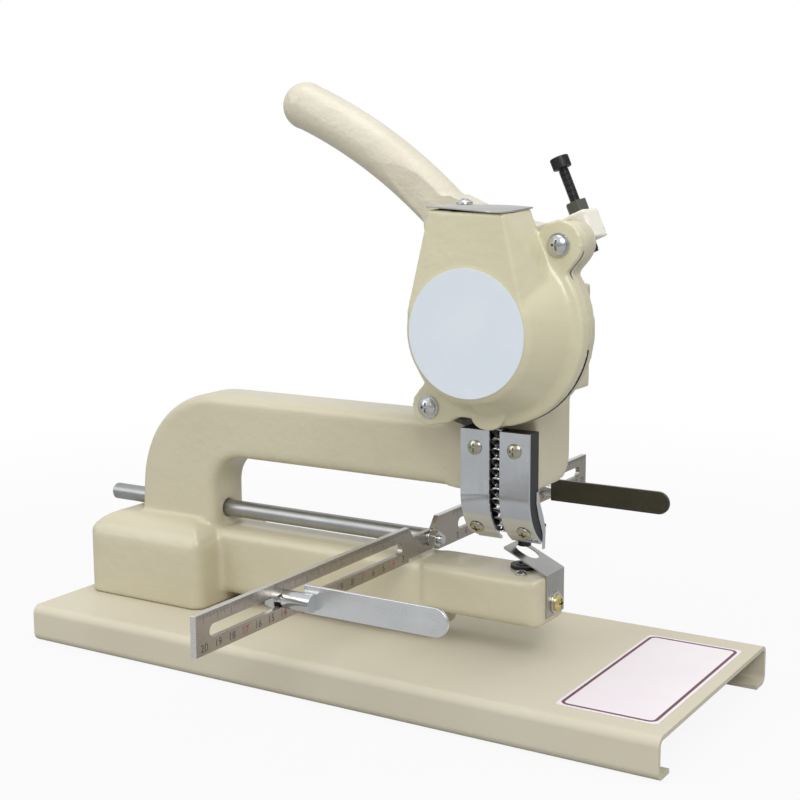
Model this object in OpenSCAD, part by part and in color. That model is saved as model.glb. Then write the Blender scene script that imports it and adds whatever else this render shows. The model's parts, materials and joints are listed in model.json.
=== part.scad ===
// Hand lever eyelet machine with a feed hopper, a curved chute and a sliding gauge.
// Millimetres, +Z up, +X towards the die end, -Y towards the hopper side.
// Origin: middle of the base plate, on the surface that it stands on.

/* [Base plate] */
// Length of the base plate along X
base_l = 400; // [380:5:440]
// Width of the base plate along Y
base_w = 156; // [140:2:180]
// Height of the folded base plate
base_h = 22; // [20:1:26]
// Thickness of the folded sheet
sheet_t = 2.5; // [2:0.5:3]
// Outer radius of the folds
bend_r = 5; // [4:0.5:7]
// Width of the flanges turned in underneath
lip_w = 14; // [8:1:18]
// Length of the label plate on the base
label_l = 54; // [40:1:60]
// Width of the label plate on the base
label_w = 123; // [90:1:126]

/* [Frame] */
// Length of the pedestal block
ped_l = 87; // [82:1:96]
// Width of the pedestal block
ped_w = 73; // [66:1:80]
// Height of the pedestal's top above the floor
ped_top = 72; // [70:0.5:72]
// Corner radius of the pedestal in plan
ped_corner_r = 7; // [4:1:12]
// Radius of the pedestal's top edges
ped_top_r = 17; // [8:1:20]
// Width of the column along X
col_l = 55; // [50:1:60]
// Thickness of the column and the arm along Y
arm_w = 32; // [30:1:34]
// Height of the arm's section
arm_h = 37; // [34:1:38]
// Height of the arm's underside above the floor
arm_z = 112; // [111:0.5:114]
// Outer radius of the frame's back corner
back_r = 57; // [50:1:60]
// Radius of the throat's inner corner
throat_r = 20; // [16:1:22]
// Radius of the rounded edges of the arm
edge_r = 5.5; // [3:0.5:8]
// Height of the lower beam's top
beam_top = 67; // [66:0.5:67.5]
// Gap between the base plate and the lower beam
beam_gap = 6; // [5:0.5:8]
// Length of the raised anvil end
anvil_l = 74; // [66:1:80]
// Width of the anvil end
anvil_w = 36; // [34:1:40]
// Height of the anvil end
anvil_h = 26.5; // [24:0.5:30]

/* [Head] */
// Distance of the punch axis from the middle of the base plate
axis_x = 88; // [86:1:92]
// Width of the head along X
head_l = 40; // [38:1:44]
// Depth of the lower head along Y
head_d = 40; // [38:1:42]
// Height of the head's underside above the floor
head_z = 117; // [115:1:119]
// Height of the head's top above the floor
head_top = 220; // [218:1:226]
// Height at which the head widens to the rear
shoulder_z = 163; // [161:1:165]
// Depth of the rear shoulder behind the lower head
shoulder_d = 24; // [18:1:28]
// Width of the slot that the lever turns in
slot_w = 24; // [23.5:0.25:25]
// Height of the lever shaft above the floor
pivot_z = 202; // [201:0.5:203]

/* [Hopper] */
// Radius of the hopper's rim and of its seat
rim_r = 50.5; // [49:0.5:53]
// Thickness of the seat flange on the head
seat_t = 6; // [5:0.5:7]
// Depth of the hopper from its rim to its front
bowl_d = 36; // [34:1:40]
// Radius of the hopper's flat front
face_r = 33; // [32.5:0.5:38]
// Wall of the hopper
bowl_wall = 3; // [2.5:0.5:3.5]
// Radius of the hopper's upper fixing ear
ear_r = 12; // [11:0.5:13]
// Radius of the hopper's lower fixing ear
low_ear_r = 10; // [9:0.5:11]
// Distance of the fixing ears' centres outside the rim
ear_out = 6.5; // [5.5:0.5:7.5]
// Angle of the upper ear above the X axis
ear_angle = 49.5; // [46:0.5:52]
// Height of the filling neck's rim above the floor
neck_top = 263; // [260:1:268]
// Width of the filling neck at its rim
neck_w = 40; // [36:1:44]
// Diameter of the round plate on the hopper's front
disc_d = 64.5; // [56:0.5:66]

/* [Chute] */
// Width of the chute
chute_w = 40; // [38:0.5:41]
// Width of the slot between the chute plates
chute_slot = 6; // [5:0.5:7]
// Thickness of the chute plates
plate_t = 1.5; // [1:0.1:1.8]
// Thickness of the chute track
track_t = 9.5; // [9:0.5:9.5]
// Height of the chute's top above the floor
chute_top = 148.5; // [147:0.5:149]
// Inner radius of the chute's bend at the plates' face
chute_bend_r = 32; // [30:1:33]
// Angle that the chute turns through
chute_turn = 58; // [54:1:59]

/* [Ram and tools] */
// Radius of the ram
ram_r = 10; // [9:0.5:10]
// Stroke of the ram
ram_stroke = 9.6; // [8:0.2:9.6]
// Radius of the roller on the ram
roller_r = 6; // [5:0.5:6.5]
// Radius of the lever's cam where the stroke starts
cam_r = 12; // [11:0.5:13]
// Radius of the upper die's tip
punch_r = 3.6; // [3.4:0.1:4.5]
// Radius of the lower die's flange
die_r = 7.5; // [7:0.5:10]
// Turns of the return spring
spring_turns = 5; // [4:1:6]
// Wire diameter of the return spring
spring_wire = 1.5; // [1:0.1:1.6]

/* [Lever] */
// Turn of the lever from rest to the end of its stroke
lever_turn = 113; // [90:1:113]
// Thickness of the lever's flat root
lever_t = 22; // [20:0.5:22]
// Radius of the lever shaft
shaft_r = 6; // [5:0.5:7]
// Radius of the handle bar
grip_r = 13; // [11:0.5:14]
// Radius that the handle bar is bent to
grip_bend = 300; // [280:5:340]
// Angle of the handle bar's arc
grip_arc = 21; // [18:0.5:24]
// Radius of the stop screw
stop_r = 3; // [2.5:0.5:4]

/* [Gauge] */
// Radius of the guide rod
rod_r = 5; // [4:0.5:5]
// Height of the guide rod above the floor
rod_z = 77.5; // [77:0.5:78]
// Length of the guide rod
rod_l = 230; // [226:1:240]
// Length of the ruler bar
ruler_l = 412; // [390:2:430]
// Height of the ruler bar
ruler_h = 19.5; // [18:0.5:20]
// Thickness of the ruler bar
ruler_t = 3; // [2:0.5:3.5]
// Width of the slots in the ruler bar
ruler_slot = 6.5; // [5:0.5:8]
// Length of the side stops
fence_l = 79; // [66:1:84]
// Height of the side stops
fence_h = 14; // [12:0.5:16]
// Thickness of the side stops
fence_t = 2; // [1.5:0.25:3]
// Distance of each side stop from the punch line
fence_y = 138; // [110:1:150]

/* [Hidden] */
$fn = 64;

// Fits
run = 0.05;              // radial clearance of a running fit
free = 0.3;              // gap between pieces that move past each other
tap = 0.5;               // depth left under a screw's tip

// Frame
ped_x = 7 - base_l / 2;  // back face of the pedestal
col_in = 28;             // from the pedestal's back face to the column's
col_x = ped_x + col_in;  // back face of the column
back_cx = col_x + back_r;                 // centre of the back corner
bend_z = arm_z - throat_r;                // height of both corner centres
throat_x = col_x + col_l + throat_r;      // centre of the throat's corner
beam_z = base_h + beam_gap;
anvil_top = beam_top + 0.5;
head_x0 = axis_x - 1 - head_l / 2;        // the head's left face
head_x1 = head_x0 + head_l;               // the head's right face, in line with the anvil
anvil_x0 = head_x1 - anvil_l;
head_front = -head_d / 2;
head_back = head_d / 2 + shoulder_d;
seat_y = head_front - seat_t;             // front of the hopper's seat
axis_y = 4.5;                             // the punch axis behind the frame's middle plane

// Lever
lever_y = 5;                              // middle plane of the lever
slot_z = head_z + 42;                     // floor of the lever slot
roller_z = pivot_z - cam_r - free - roller_r;
cam_rise = ram_stroke / lever_turn;       // rise of the cam, mm for each degree
tip_at = [axis_x + 38, pivot_z + 37.5];   // tip of the stop screw at rest
stop_tilt = 23.64;                        // lean of the stop screw from upright
lug_d0 = 6;                               // start of the lug above the screw's tip
lug_d1 = 21.5;                            // end of the lug, where the lock nut sits
lug_half = 6.5;
lug_t = 18;
stop_l = 46;                              // length of the stop screw under its head
grip_root = [-47.8, 55.2];                // middle of the bar's root, from the shaft
grip_from = 47;                           // angle at which the bar's arc starts
grip_flat = 4;                            // arc of the bar that is as thin as the root
root_top = [10, 50.5];                    // top of the root before the lug
stop_wall_z = pivot_z + 6;                // top of the wall that the lever leans on

// Hopper
ear_dist = rim_r + ear_out;
hop = [axis_x, 0, pivot_z];               // the hopper shares the lever shaft's axis
bowl_front = seat_y - bowl_d;
flange_d = 8;                             // depth of the hopper's rim band
ear_front = seat_y - flange_d - 1;
boss_back = -16;                          // back of the casting's upper boss
neck_front = bowl_front + 0.3;
neck_back = seat_y - 6;
neck_flare = 0.8;                         // how much wider the neck is behind than in front
neck_dip = 2;                             // fall of the neck's rim at its front corner
lid_t = 0.8;
lid_screw_at = [axis_x - 17, neck_back - 0.5];
lid_lug_r = 4.2;

// Chute
chute_front = -31;
chute_bend_y = chute_front + chute_bend_r;
chute_bend_z = chute_top - 33.5;
chute_x0 = axis_x - chute_w / 2;
channel_w = 11;
channel_d = 5.6;
chute_screw_x = (chute_w + chute_slot) / 4;
chute_screw_z = chute_top - 9.5;
chute_screw_turn = 39;
chute_screw_low_x = chute_screw_x + 2.3;  // the lower screws stand wider
chute_corner = 5;                         // corner cut off the left plate's end

// Ram and tools
ram_z0 = 96;                              // underside of the ram at rest
die_top = 70;
punch_tip = die_top + ram_stroke + 0.4;
collar_z = 172;                           // underside of the ram's collar
collar_t = 4;
collar_r = ram_r + 2.5;
spring_seat = 148;
spring_bore = collar_r + 1;
fork_t = 4;
roller_w = 8;

// Gauge
gauge_x = 29;                             // back face of the ruler bar
rod_x0 = gauge_x - rod_l;
ruler_z = rod_z - 8.5;                    // underside of the ruler bar
ruler_mid = ruler_z + ruler_h / 2;
neck_z0 = ruler_z + 2;                    // the ruler's waist, which passes under the chute
neck_z1 = 82.3;
neck_y0 = -24;
neck_y1 = 8;
slot_in = 34;                             // inner end of each slot from the middle
slot_end = 10;                            // metal left outside each slot
stud_r = ruler_slot / 2 - 0.25;            // thread of a side stop's stud
stud_l = 16;                              // length of a stud's round body
stud_body_r = 4.5;
fence_in = 9;                             // start of a side stop in front of the ruler
fence_z = ruler_z + 10.5;                 // middle of the side stops

// ---------- shapes that repeat ----------

// A 2D outline in the XZ plane, given a depth from y0 to y1.
module along_y(y0, y1) { translate([0, y1, 0]) rotate([90, 0, 0]) linear_extrude(y1 - y0) children(); }

// A 2D outline in the YZ plane, given a length from x0 to x1.
module along_x(x0, x1) { translate([x0, 0, 0]) rotate([90, 0, 90]) linear_extrude(x1 - x0) children(); }

// A round bar along Y between two planes.
module bar_y(x, z, r, y0, y1) { translate([x, y1, z]) rotate([90, 0, 0]) cylinder(r = r, h = y1 - y0); }

// A round bar along X between two planes.
module bar_x(y, z, r, x0, x1) { translate([x0, y, z]) rotate([0, 90, 0]) cylinder(r = r, h = x1 - x0); }

// Children that point along +Z are turned to point along -Y from a point.
module facing_front(p) { translate(p) rotate([90, 0, 0]) children(); }

// Children that point along +Z are turned to point along +Y from a point.
module facing_back(p) { translate(p) rotate([-90, 0, 0]) children(); }

// Children that point along +Z are turned to point along +X from a point.
module facing_right(p) { translate(p) rotate([0, 90, 0]) children(); }

// A rectangle with round corners, given by its two corners.
module round_rect(a, b, r) {
    for (x = [a[0] + r, b[0] - r], y = [a[1] + r, b[1] - r]) translate([x, y]) circle(r);
    translate([a[0] + r, a[1]]) square([b[0] - a[0] - 2 * r, b[1] - a[1]]);
    translate([a[0], a[1] + r]) square([b[0] - a[0], b[1] - a[1] - 2 * r]);
}

// A rectangle whose upper corners are round.
module round_top_rect(a, b, r) {
    for (x = [a[0] + r, b[0] - r]) translate([x, b[1] - r]) circle(r);
    translate([a[0] + r, a[1]]) square([b[0] - a[0] - 2 * r, b[1] - a[1]]);
    translate(a) square([b[0] - a[0], b[1] - a[1] - r]);
}

// A slot with round ends along the first axis.
module slot_2d(a, b, w) {
    for (p = [a, b]) translate(p) circle(w / 2);
    translate([a[0], a[1] - w / 2]) square([b[0] - a[0], w]);
}

// A domed head with a cross recess; it sits on z = 0 and its shank runs down.
module cross_screw(shank_r, shank_l, head_r, head_h) {
    dome_r = (head_r * head_r + head_h * head_h) / (2 * head_h) * 1.25;
    difference() {
        intersection() {
            translate([0, 0, head_h - dome_r]) sphere(dome_r);
            cylinder(r = head_r, h = head_h);
        }
        for (a = [0, 90]) rotate(a)
            translate([-head_r * 0.55, -head_r * 0.12, head_h * 0.45])
                cube([head_r * 1.1, head_r * 0.24, head_h]);
    }
    translate([0, 0, -shank_l]) cylinder(r = shank_r, h = shank_l + head_h * 0.2);
}

// A flat washer on z = 0.
module washer(inner_r, outer_r, t) {
    difference() {
        cylinder(r = outer_r, h = t);
        translate([0, 0, -1]) cylinder(r = inner_r, h = t + 2);
    }
}

// A hexagon nut on z = 0, given its width across the corners.
module hex_nut(inner_r, corner_r, t) {
    difference() {
        cylinder(r = corner_r, h = t, $fn = 6);
        translate([0, 0, -1]) cylinder(r = inner_r, h = t + 2);
    }
}

// ---------- base ----------

module channel_2d(w, h, r) { round_rect([-w / 2, 0], [w / 2, h], r); }

casting_bolt_r = 3.9;
bolt_at = [for (x = [ped_x + 18, ped_x + ped_l - 18], y = [-ped_w / 2 + 14, ped_w / 2 - 14]) [x, y]];
bolt_washer_t = 1.5;
bolt_grip = sheet_t + bolt_washer_t;
bolt_in = 20;
bolt_head_r = 7.2;
bolt_head_h = 5.5;

module base_plate() {
    color([0.80, 0.77, 0.66]) difference() {
        along_x(-base_l / 2, base_l / 2) difference() {
            channel_2d(base_w, base_h, bend_r);
            translate([0, sheet_t]) channel_2d(base_w - 2 * sheet_t, base_h - 2 * sheet_t, bend_r - sheet_t);
            translate([-(base_w / 2 - lip_w), -1]) square([base_w - 2 * lip_w, sheet_t + 2]);
        }
        for (p = bolt_at) translate([p[0], p[1], base_h - sheet_t - 1])
            cylinder(r = casting_bolt_r + 0.4, h = sheet_t + 2);
    }
}

module base_label() {
    label_t = 0.3;
    color([0.95, 0.93, 0.93]) translate([base_l / 2 - 7 - label_l, -1.5 - label_w / 2, base_h])
        linear_extrude(label_t) round_rect([0, 0], [label_l, label_w], 3);
}

// ---------- frame ----------

// The two quarter bends of the frame's back corner.
module back_corner() {
    translate([back_cx, 0, bend_z]) rotate([90, 0, 0]) rotate([0, 0, 90]) rotate_extrude(angle = 90)
        translate([throat_r, 0]) round_rect([0, -arm_w / 2], [back_r - throat_r, arm_w / 2], edge_r);
    translate([throat_x, 0, bend_z]) rotate([90, 0, 0]) rotate([0, 0, 90]) rotate_extrude(angle = 90)
        translate([throat_r, 0]) round_rect([0, -arm_w / 2], [throat_r + 8, arm_w / 2], edge_r);
}

module pedestal() {
    intersection() {
        translate([0, 0, base_h]) linear_extrude(ped_top - base_h)
            round_rect([ped_x, -ped_w / 2], [ped_x + ped_l, ped_w / 2], ped_corner_r);
        along_x(ped_x, ped_x + ped_l) round_top_rect([-ped_w / 2, base_h], [ped_w / 2, ped_top], ped_top_r);
        along_y(-ped_w / 2, ped_w / 2) round_top_rect([ped_x, base_h], [ped_x + ped_l, ped_top], ped_top_r);
    }
}

module anvil() {
    intersection() {
        translate([0, 0, anvil_top - anvil_h]) linear_extrude(anvil_h)
            round_rect([anvil_x0, -anvil_w / 2], [head_x1, anvil_w / 2], 7);
        along_x(anvil_x0, head_x1)
            round_rect([-anvil_w / 2, anvil_top - anvil_h], [anvil_w / 2, anvil_top], 4);
    }
}

// The head seen from the side: a block that widens to the rear above the shoulder.
module head_2d() {
    low_r = 12;
    cove = 5;
    difference() {
        union() {
            round_rect([head_front, head_z], [head_d / 2, slot_z + 10], low_r);
            translate([head_front, head_z]) square([low_r, slot_z - head_z]);
            translate([head_front, slot_z]) square([head_d, head_top - slot_z]);
            translate([head_front, shoulder_z]) square([head_back - head_front, head_top - shoulder_z]);
            translate([head_d / 2 - 0.01, shoulder_z - cove]) square([cove, cove + 1]);
        }
        translate([head_d / 2 + cove, shoulder_z - cove]) circle(cove);
    }
}

// One ear of the hopper or of its seat: a round end on an arm from the middle.
module ear_2d(angle, radius) {
    rotate(angle) {
        translate([ear_dist, 0]) circle(radius);
        translate([ear_dist / 2, -radius]) square([ear_dist / 2, 2 * radius]);
    }
}

// Both ears; the lower one's web runs on to the nose over the chute.
module ears_2d() {
    low = ear_at(ear_angle + 180) - [hop[0], hop[2]];
    web_x = -22;
    web_z = -50.2;
    ear_2d(ear_angle, ear_r);
    ear_2d(ear_angle + 180, low_ear_r);
    polygon([low - [0, low_ear_r], [web_x, web_z], [0, web_z], [0, low[1]], low]);
}

// The arch beside the nose where the hopper and its seat are open.
module arch_2d() {
    arch_x = -15;
    arch_z = -51.5;
    translate([arch_x, arch_z]) scale([2, 1]) circle(4.4);
}

function ear_at(angle) = [hop[0] + ear_dist * cos(angle), hop[2] + ear_dist * sin(angle)];

module hopper_seat() {
    translate([hop[0], 0, hop[2]]) {
        difference() {
            along_y(seat_y, head_front + 1) {
                circle(rim_r);
                ears_2d();
            }
            along_y(seat_y - 1, head_front) arch_2d();
        }
        along_y(head_front, boss_back) ear_2d(ear_angle, ear_r);
        along_y(head_front, -arm_w / 2 + 1) ear_2d(ear_angle + 180, low_ear_r);
    }
}

// The cove between the arm's face and the head's face.
module head_cove() {
    translate([0, 0, arm_z]) linear_extrude(arm_h)
        polygon([[head_x0 - 16, -10], [head_x0 - 16, -arm_w / 2], [head_x0 - 9, -arm_w / 2 - 1],
            [head_x0 - 3, head_front + 1], [head_x0, head_front], [head_x0 + 1, -10]]);
}

module frame_solid() {
    pedestal();
    translate([0, 0, ped_top - 20]) linear_extrude(bend_z - ped_top + 20)
        round_rect([col_x, -arm_w / 2], [col_x + col_l, arm_w / 2], edge_r);
    back_corner();
    translate([back_cx, 0, 0]) along_x(0, head_x0 + 3 - back_cx)
        round_rect([-arm_w / 2, arm_z], [arm_w / 2, arm_z + arm_h], edge_r);
    along_x(ped_x + ped_l - 6, anvil_x0 + 8) round_rect([-arm_w / 2 + 1, beam_z], [arm_w / 2 - 1, beam_top], 5);
    anvil();
    along_x(head_x0, head_x1) head_2d();
    head_cove();
    hopper_seat();
}

key_z = 133;                              // height of the ram's key screw
key_r = 2.5;
key_in = 2.5;                             // depth of the groove in the ram
pocket = 2;                               // the shaft's circlip groove from its end
clamp_x = col_x + col_l / 2;
hop_screw_r = 2.5;
hop_screw_l = 16;
chute_screw_r = 1.9;
chute_screw_l = 8;
die_stem_r = 4;
die_stem_l = 12;
lifter_screw_z = 51.5;
lifter_screw_r = 2.4;
lifter_screw_l = 12;
stop_wall = 4;                            // wall that the lever leans on at rest

module frame_casting() {
    color([0.78, 0.75, 0.63]) difference() {
        frame_solid();
        // guide rod and its clamp screw
        bar_x(0, rod_z, rod_r + run, col_x - 1, col_x + col_l + 1);
        bar_y(clamp_x, rod_z, clamp_r, 0, arm_w / 2 + 1);
        // ram bore, spring bore and the screw that keys the ram
        translate([axis_x, axis_y, head_z - 1]) cylinder(r = ram_r + run, h = slot_z - head_z + 2);
        translate([axis_x, axis_y, spring_seat]) cylinder(r = spring_bore, h = roller_z + 10 - spring_seat);
        bar_y(axis_x, key_z, key_r, axis_y, head_d / 2 + 1);
        // lever slot, with the wall that the lever leans on
        difference() {
            along_y(lever_y - slot_w / 2, lever_y + slot_w / 2)
                polygon([[head_x0 - 1, slot_z], [head_x1 + 1, slot_z], [head_x1 + 1, head_top + 1],
                    [head_x0 - 1, head_top + 1]]);
            translate([head_x0, head_front, slot_z - 1])
                cube([stop_wall, head_back - head_front, stop_wall_z - slot_z + 1]);
        }
        // lever shaft
        bar_y(hop[0], hop[2], shaft_r + run, seat_y - 1, head_back + 1);
        // hopper screws
        for (a = [ear_angle, ear_angle + 180]) {
            p = ear_at(a);
            bar_y(p[0], p[1], hop_screw_r, seat_y - 1, ear_front + hop_screw_l + tap - 1);
        }
        // mouth of the chute through the seat
        translate([axis_x - channel_w / 2, seat_y - 1, hop[2] - rim_r - 1])
            cube([channel_w, seat_t - 1.5, 12]);
        // chute screws
        for (s = [-1, 1]) bar_y(axis_x + s * chute_screw_x, chute_screw_z, chute_screw_r,
            head_front - 1, chute_front + plate_t + chute_screw_l + 6 + tap);
        // lower die, its screw and the lifter's screw
        translate([axis_x, axis_y, anvil_top - die_stem_l - tap]) cylinder(r = die_stem_r + run, h = die_stem_l + 2);
        translate([die_screw_at[0], die_screw_at[1], anvil_top - die_screw_l - tap])
            cylinder(r = die_screw_r, h = die_screw_l + 2);
        bar_x(lifter_y, lifter_screw_z, lifter_screw_r, head_x1 - lifter_screw_l - tap, head_x1 + 1);
        // bolts from below
        for (p = bolt_at) translate([p[0], p[1], base_h - 1]) cylinder(r = casting_bolt_r, h = bolt_in + 1 + tap);
    }
}

module casting_bolts() {
    color("dimgray") for (p = bolt_at) translate([p[0], p[1], base_h - bolt_grip]) {
        translate([0, 0, -bolt_head_h]) cylinder(r = bolt_head_r, h = bolt_head_h, $fn = 6);
        cylinder(r = casting_bolt_r, h = bolt_grip + bolt_in);
    }
}

module casting_washers() {
    color("silver") for (p = bolt_at) translate([p[0], p[1], base_h - bolt_grip])
        washer(casting_bolt_r + 0.2, casting_bolt_r + 4.1, bolt_washer_t);
}

// ---------- gauge ----------

clamp_r = 3;

module guide_rod() {
    color("silver") difference() {
        translate([rod_x0, 0, rod_z]) rotate([0, 90, 0]) {
            translate([0, 0, 1]) cylinder(r = rod_r, h = rod_l - 1);
            cylinder(r = rod_r - 1, h = 2);
        }
        bar_x(0, rod_z, ruler_stud_r, gauge_x - ruler_stud_in - tap, gauge_x + 1);
    }
}

module rod_clamp_screw() {
    knob_r = 5;
    knob_h = 10;
    color([0.16, 0.16, 0.17]) facing_back([clamp_x, rod_r + free, rod_z]) {
        cylinder(r = clamp_r, h = arm_w / 2 + 4 - rod_r - free);
        translate([0, 0, arm_w / 2 + 2 - rod_r - free]) difference() {
            cylinder(r = knob_r, h = knob_h);
            for (a = [0 : 30 : 330]) rotate(a) translate([knob_r + 0.4, 0, -1])
                cylinder(r = 0.8, h = knob_h + 2, $fn = 16);
        }
    }
}

ruler_stud_r = 2.5;
ruler_stud_in = 13.5;
ruler_stud_out = 8;

// The ruler seen from the die end, with its waist under the chute and two slots.
module ruler_2d() {
    end = ruler_l / 2;
    top = ruler_z + ruler_h;
    slope = 5;
    difference() {
        polygon([[-end, ruler_z], [neck_y0, ruler_z], [neck_y0, neck_z0], [neck_y1, neck_z0], [neck_y1, ruler_z],
            [end, ruler_z], [end, top], [neck_y1, top], [neck_y1 - slope, neck_z1], [neck_y0 + slope, neck_z1],
            [neck_y0, top], [-end, top]]);
        slot_2d([slot_end + ruler_slot / 2 - end, ruler_mid], [-slot_in, ruler_mid], ruler_slot);
        slot_2d([slot_in, ruler_mid], [end - slot_end - ruler_slot / 2, ruler_mid], ruler_slot);
        translate([0, rod_z]) circle(ruler_stud_r + 0.2);
    }
}

module ruler_bar() { color([0.82, 0.83, 0.85]) along_x(gauge_x, gauge_x + ruler_t) ruler_2d(); }

module ruler_washer() {
    color("silver") facing_right([gauge_x + ruler_t, 0, rod_z]) washer(ruler_stud_r + 0.2, 4.7, 1);
}

module ruler_stud() {
    color("silver") bar_x(0, rod_z, ruler_stud_r, gauge_x - ruler_stud_in, gauge_x + ruler_t + ruler_stud_out);
}

module ruler_nut() {
    color("silver") facing_right([gauge_x + ruler_t + 1, 0, rod_z]) hex_nut(ruler_stud_r, 4.8, 4);
}

// A side stop: a thin bar with one round end.
module stop_bar(side) {
    y0 = side > 0 ? fence_y - stud_body_r : -fence_y + stud_body_r - fence_t;
    x0 = gauge_x + ruler_t + fence_in;
    x1 = x0 + fence_l;
    color([0.86, 0.87, 0.88]) along_y(y0, y0 + fence_t) {
        translate([x1 - fence_h / 2, fence_z]) circle(fence_h / 2);
        translate([x0, fence_z - fence_h / 2]) square([fence_l - fence_h / 2, fence_h]);
    }
}

// The stud: a round body with a flat for the bar, and a thread through the ruler's slot.
module stop_stud(side) {
    y0 = side * fence_y;
    x0 = gauge_x + ruler_t;
    color([0.80, 0.81, 0.83]) difference() {
        union() {
            bar_x(y0, ruler_mid, stud_r, gauge_x - 9, x0 + 1);
            bar_x(y0, ruler_mid, stud_body_r, x0, x0 + stud_l);
        }
        translate([x0 + fence_in, side > 0 ? y0 - stud_body_r - 1 : y0 + stud_body_r - fence_t, ruler_mid - 8])
            cube([stud_l, fence_t + 1, 16]);
    }
}

module stop_washer(side) {
    color("silver") translate([gauge_x - 1, side * fence_y, ruler_mid])
        rotate([0, 90, 0]) washer(stud_r, 6, 1);
}

module stop_nut_on_stud(side) {
    color("silver") translate([gauge_x - 6, side * fence_y, ruler_mid])
        rotate([0, 90, 0]) hex_nut(stud_r, 5.8, 5);
}

// ---------- hopper ----------

// The hopper's outside, from its axis to its rim; the second value runs to the front.
module bowl_profile() {
    polygon([[0, 0], [rim_r, 0], [rim_r, flange_d], [rim_r - 1, flange_d + 1.2], [rim_r - 4, flange_d + 2],
        [rim_r - 6, flange_d + 4], [face_r + 2.2, bowl_d - 2.6], [face_r, bowl_d - 0.5],
        [face_r - 0.5, bowl_d], [0, bowl_d]]);
}

module bowl_hollow() {
    polygon([[0, -1], [rim_r - bowl_wall, -1], [rim_r - bowl_wall, flange_d - 1],
        [rim_r - 6 - bowl_wall, flange_d + 3], [face_r - bowl_wall, bowl_d - bowl_wall - 1],
        [face_r - bowl_wall - 2, bowl_d - bowl_wall], [0, bowl_d - bowl_wall]]);
}

// The filling neck: narrow in front, wider behind, and wider where it joins the bowl.
module neck_form(inset, top) {
    rim_over = rim_r - neck_w / 2;
    spread = 0.426 * rim_over;
    low_flare = 0.328 * rim_over;
    low = hop[2] + 8;
    rows = [[top, neck_w / 2 - inset, neck_flare], [low, neck_w / 2 + spread - inset, low_flare]];
    hull() for (row = rows) translate([axis_x - 1, 0, row[0] - 0.01]) linear_extrude(0.01)
        polygon([[-row[1], neck_front + inset], [row[1], neck_front + inset],
            [row[1] + row[2], neck_back - inset], [-row[1] - row[2], neck_back - inset]]);
}

module nose() {
    nose_r = 10.5;
    along_y(seat_y - 14, seat_y) translate([axis_x, hop[2] - rim_r + 9]) circle(nose_r);
}

module hopper_bowl() {
    color([0.80, 0.78, 0.66]) difference() {
        union() {
            facing_front([hop[0], seat_y, hop[2]]) rotate_extrude() bowl_profile();
            neck_form(0, neck_top);
            nose();
            translate([lid_screw_at[0], lid_screw_at[1], neck_top - 11]) cylinder(r = lid_lug_r, h = 11);
            translate([hop[0], 0, hop[2]]) along_y(ear_front, seat_y) ears_2d();
        }
        facing_front([hop[0], seat_y, hop[2]]) rotate_extrude() bowl_hollow();
        neck_form(bowl_wall - 0.5, neck_top + 1);
        // the rim falls away towards its front corner
        translate([axis_x - 1 + neck_w / 2, neck_front, neck_top - neck_dip]) rotate([3.6, 1.8, 0])
            translate([-1.5 * neck_w, -neck_w / 4, 0]) cube([2 * neck_w, 1.5 * neck_w, neck_w / 2]);
        // mouth over the chute and the arch beside the nose
        translate([axis_x - channel_w / 2, seat_y - 7, hop[2] - rim_r - 3]) cube([channel_w, 8, 12]);
        translate([hop[0], 0, hop[2]]) along_y(bowl_front, seat_y + 1) arch_2d();
        for (a = [ear_angle, ear_angle + 180]) {
            p = ear_at(a);
            bar_y(p[0], p[1], hop_screw_r + 0.3, ear_front - 1, seat_y + 1);
        }
        translate([lid_screw_at[0], lid_screw_at[1], neck_top - lid_screw_l + tap])
            cylinder(r = lid_screw_r, h = lid_screw_l + 3);
    }
}

module hopper_disc() {
    disc_t = 0.4;
    color([0.83, 0.86, 0.90]) facing_front([hop[0], bowl_front, hop[2]]) cylinder(r = disc_d / 2, h = disc_t);
}

module hopper_washers() {
    color("silver") for (a = [ear_angle, ear_angle + 180])
        facing_front([ear_at(a)[0], ear_front, ear_at(a)[1]]) washer(hop_screw_r + 0.2, 6, 1);
}

module hopper_screws() {
    color("silver") for (a = [ear_angle, ear_angle + 180])
        facing_front([ear_at(a)[0], ear_front - 1, ear_at(a)[1]]) cross_screw(hop_screw_r, hop_screw_l, 4.8, 3);
}

lid_screw_r = 1.9;
lid_screw_l = 9;

module hopper_lid() {
    over = 1;
    color([0.36, 0.34, 0.30]) difference() {
        translate([0, 0, neck_top + free]) linear_extrude(lid_t) {
            translate([axis_x - 1, 0]) polygon([[-neck_w / 2 - over, neck_front - over],
                [neck_w / 2 + over, neck_front - over], [neck_w / 2 + neck_flare + over, neck_back + over],
                [-neck_w / 2 - neck_flare - over, neck_back + over]]);
            translate(lid_screw_at) circle(lid_lug_r + 0.3);
        }
        translate([lid_screw_at[0], lid_screw_at[1], neck_top - 1]) cylinder(r = lid_screw_r + run, h = lid_t + 3);
    }
}

module lid_screw() {
    color("silver") translate([lid_screw_at[0], lid_screw_at[1], neck_top + lid_t + 2 * free])
        cross_screw(lid_screw_r, lid_screw_l, 4.3, 2.6);
}

brush_r = 29;
brush_front = seat_y - 18;

// The stirrer in the hopper: a hub on the shaft with three arms.
module feed_brush() {
    color([0.15, 0.15, 0.16]) difference() {
        facing_front([hop[0], seat_y - 4, hop[2]]) {
            cylinder(r = 11, h = 14);
            for (a = [30, 150, 270]) rotate(a) translate([0, -3.5, 3]) cube([brush_r - 6, 7, 8]);
        }
        bar_y(hop[0], hop[2], shaft_r, brush_front - 1, seat_y);
    }
}

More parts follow.
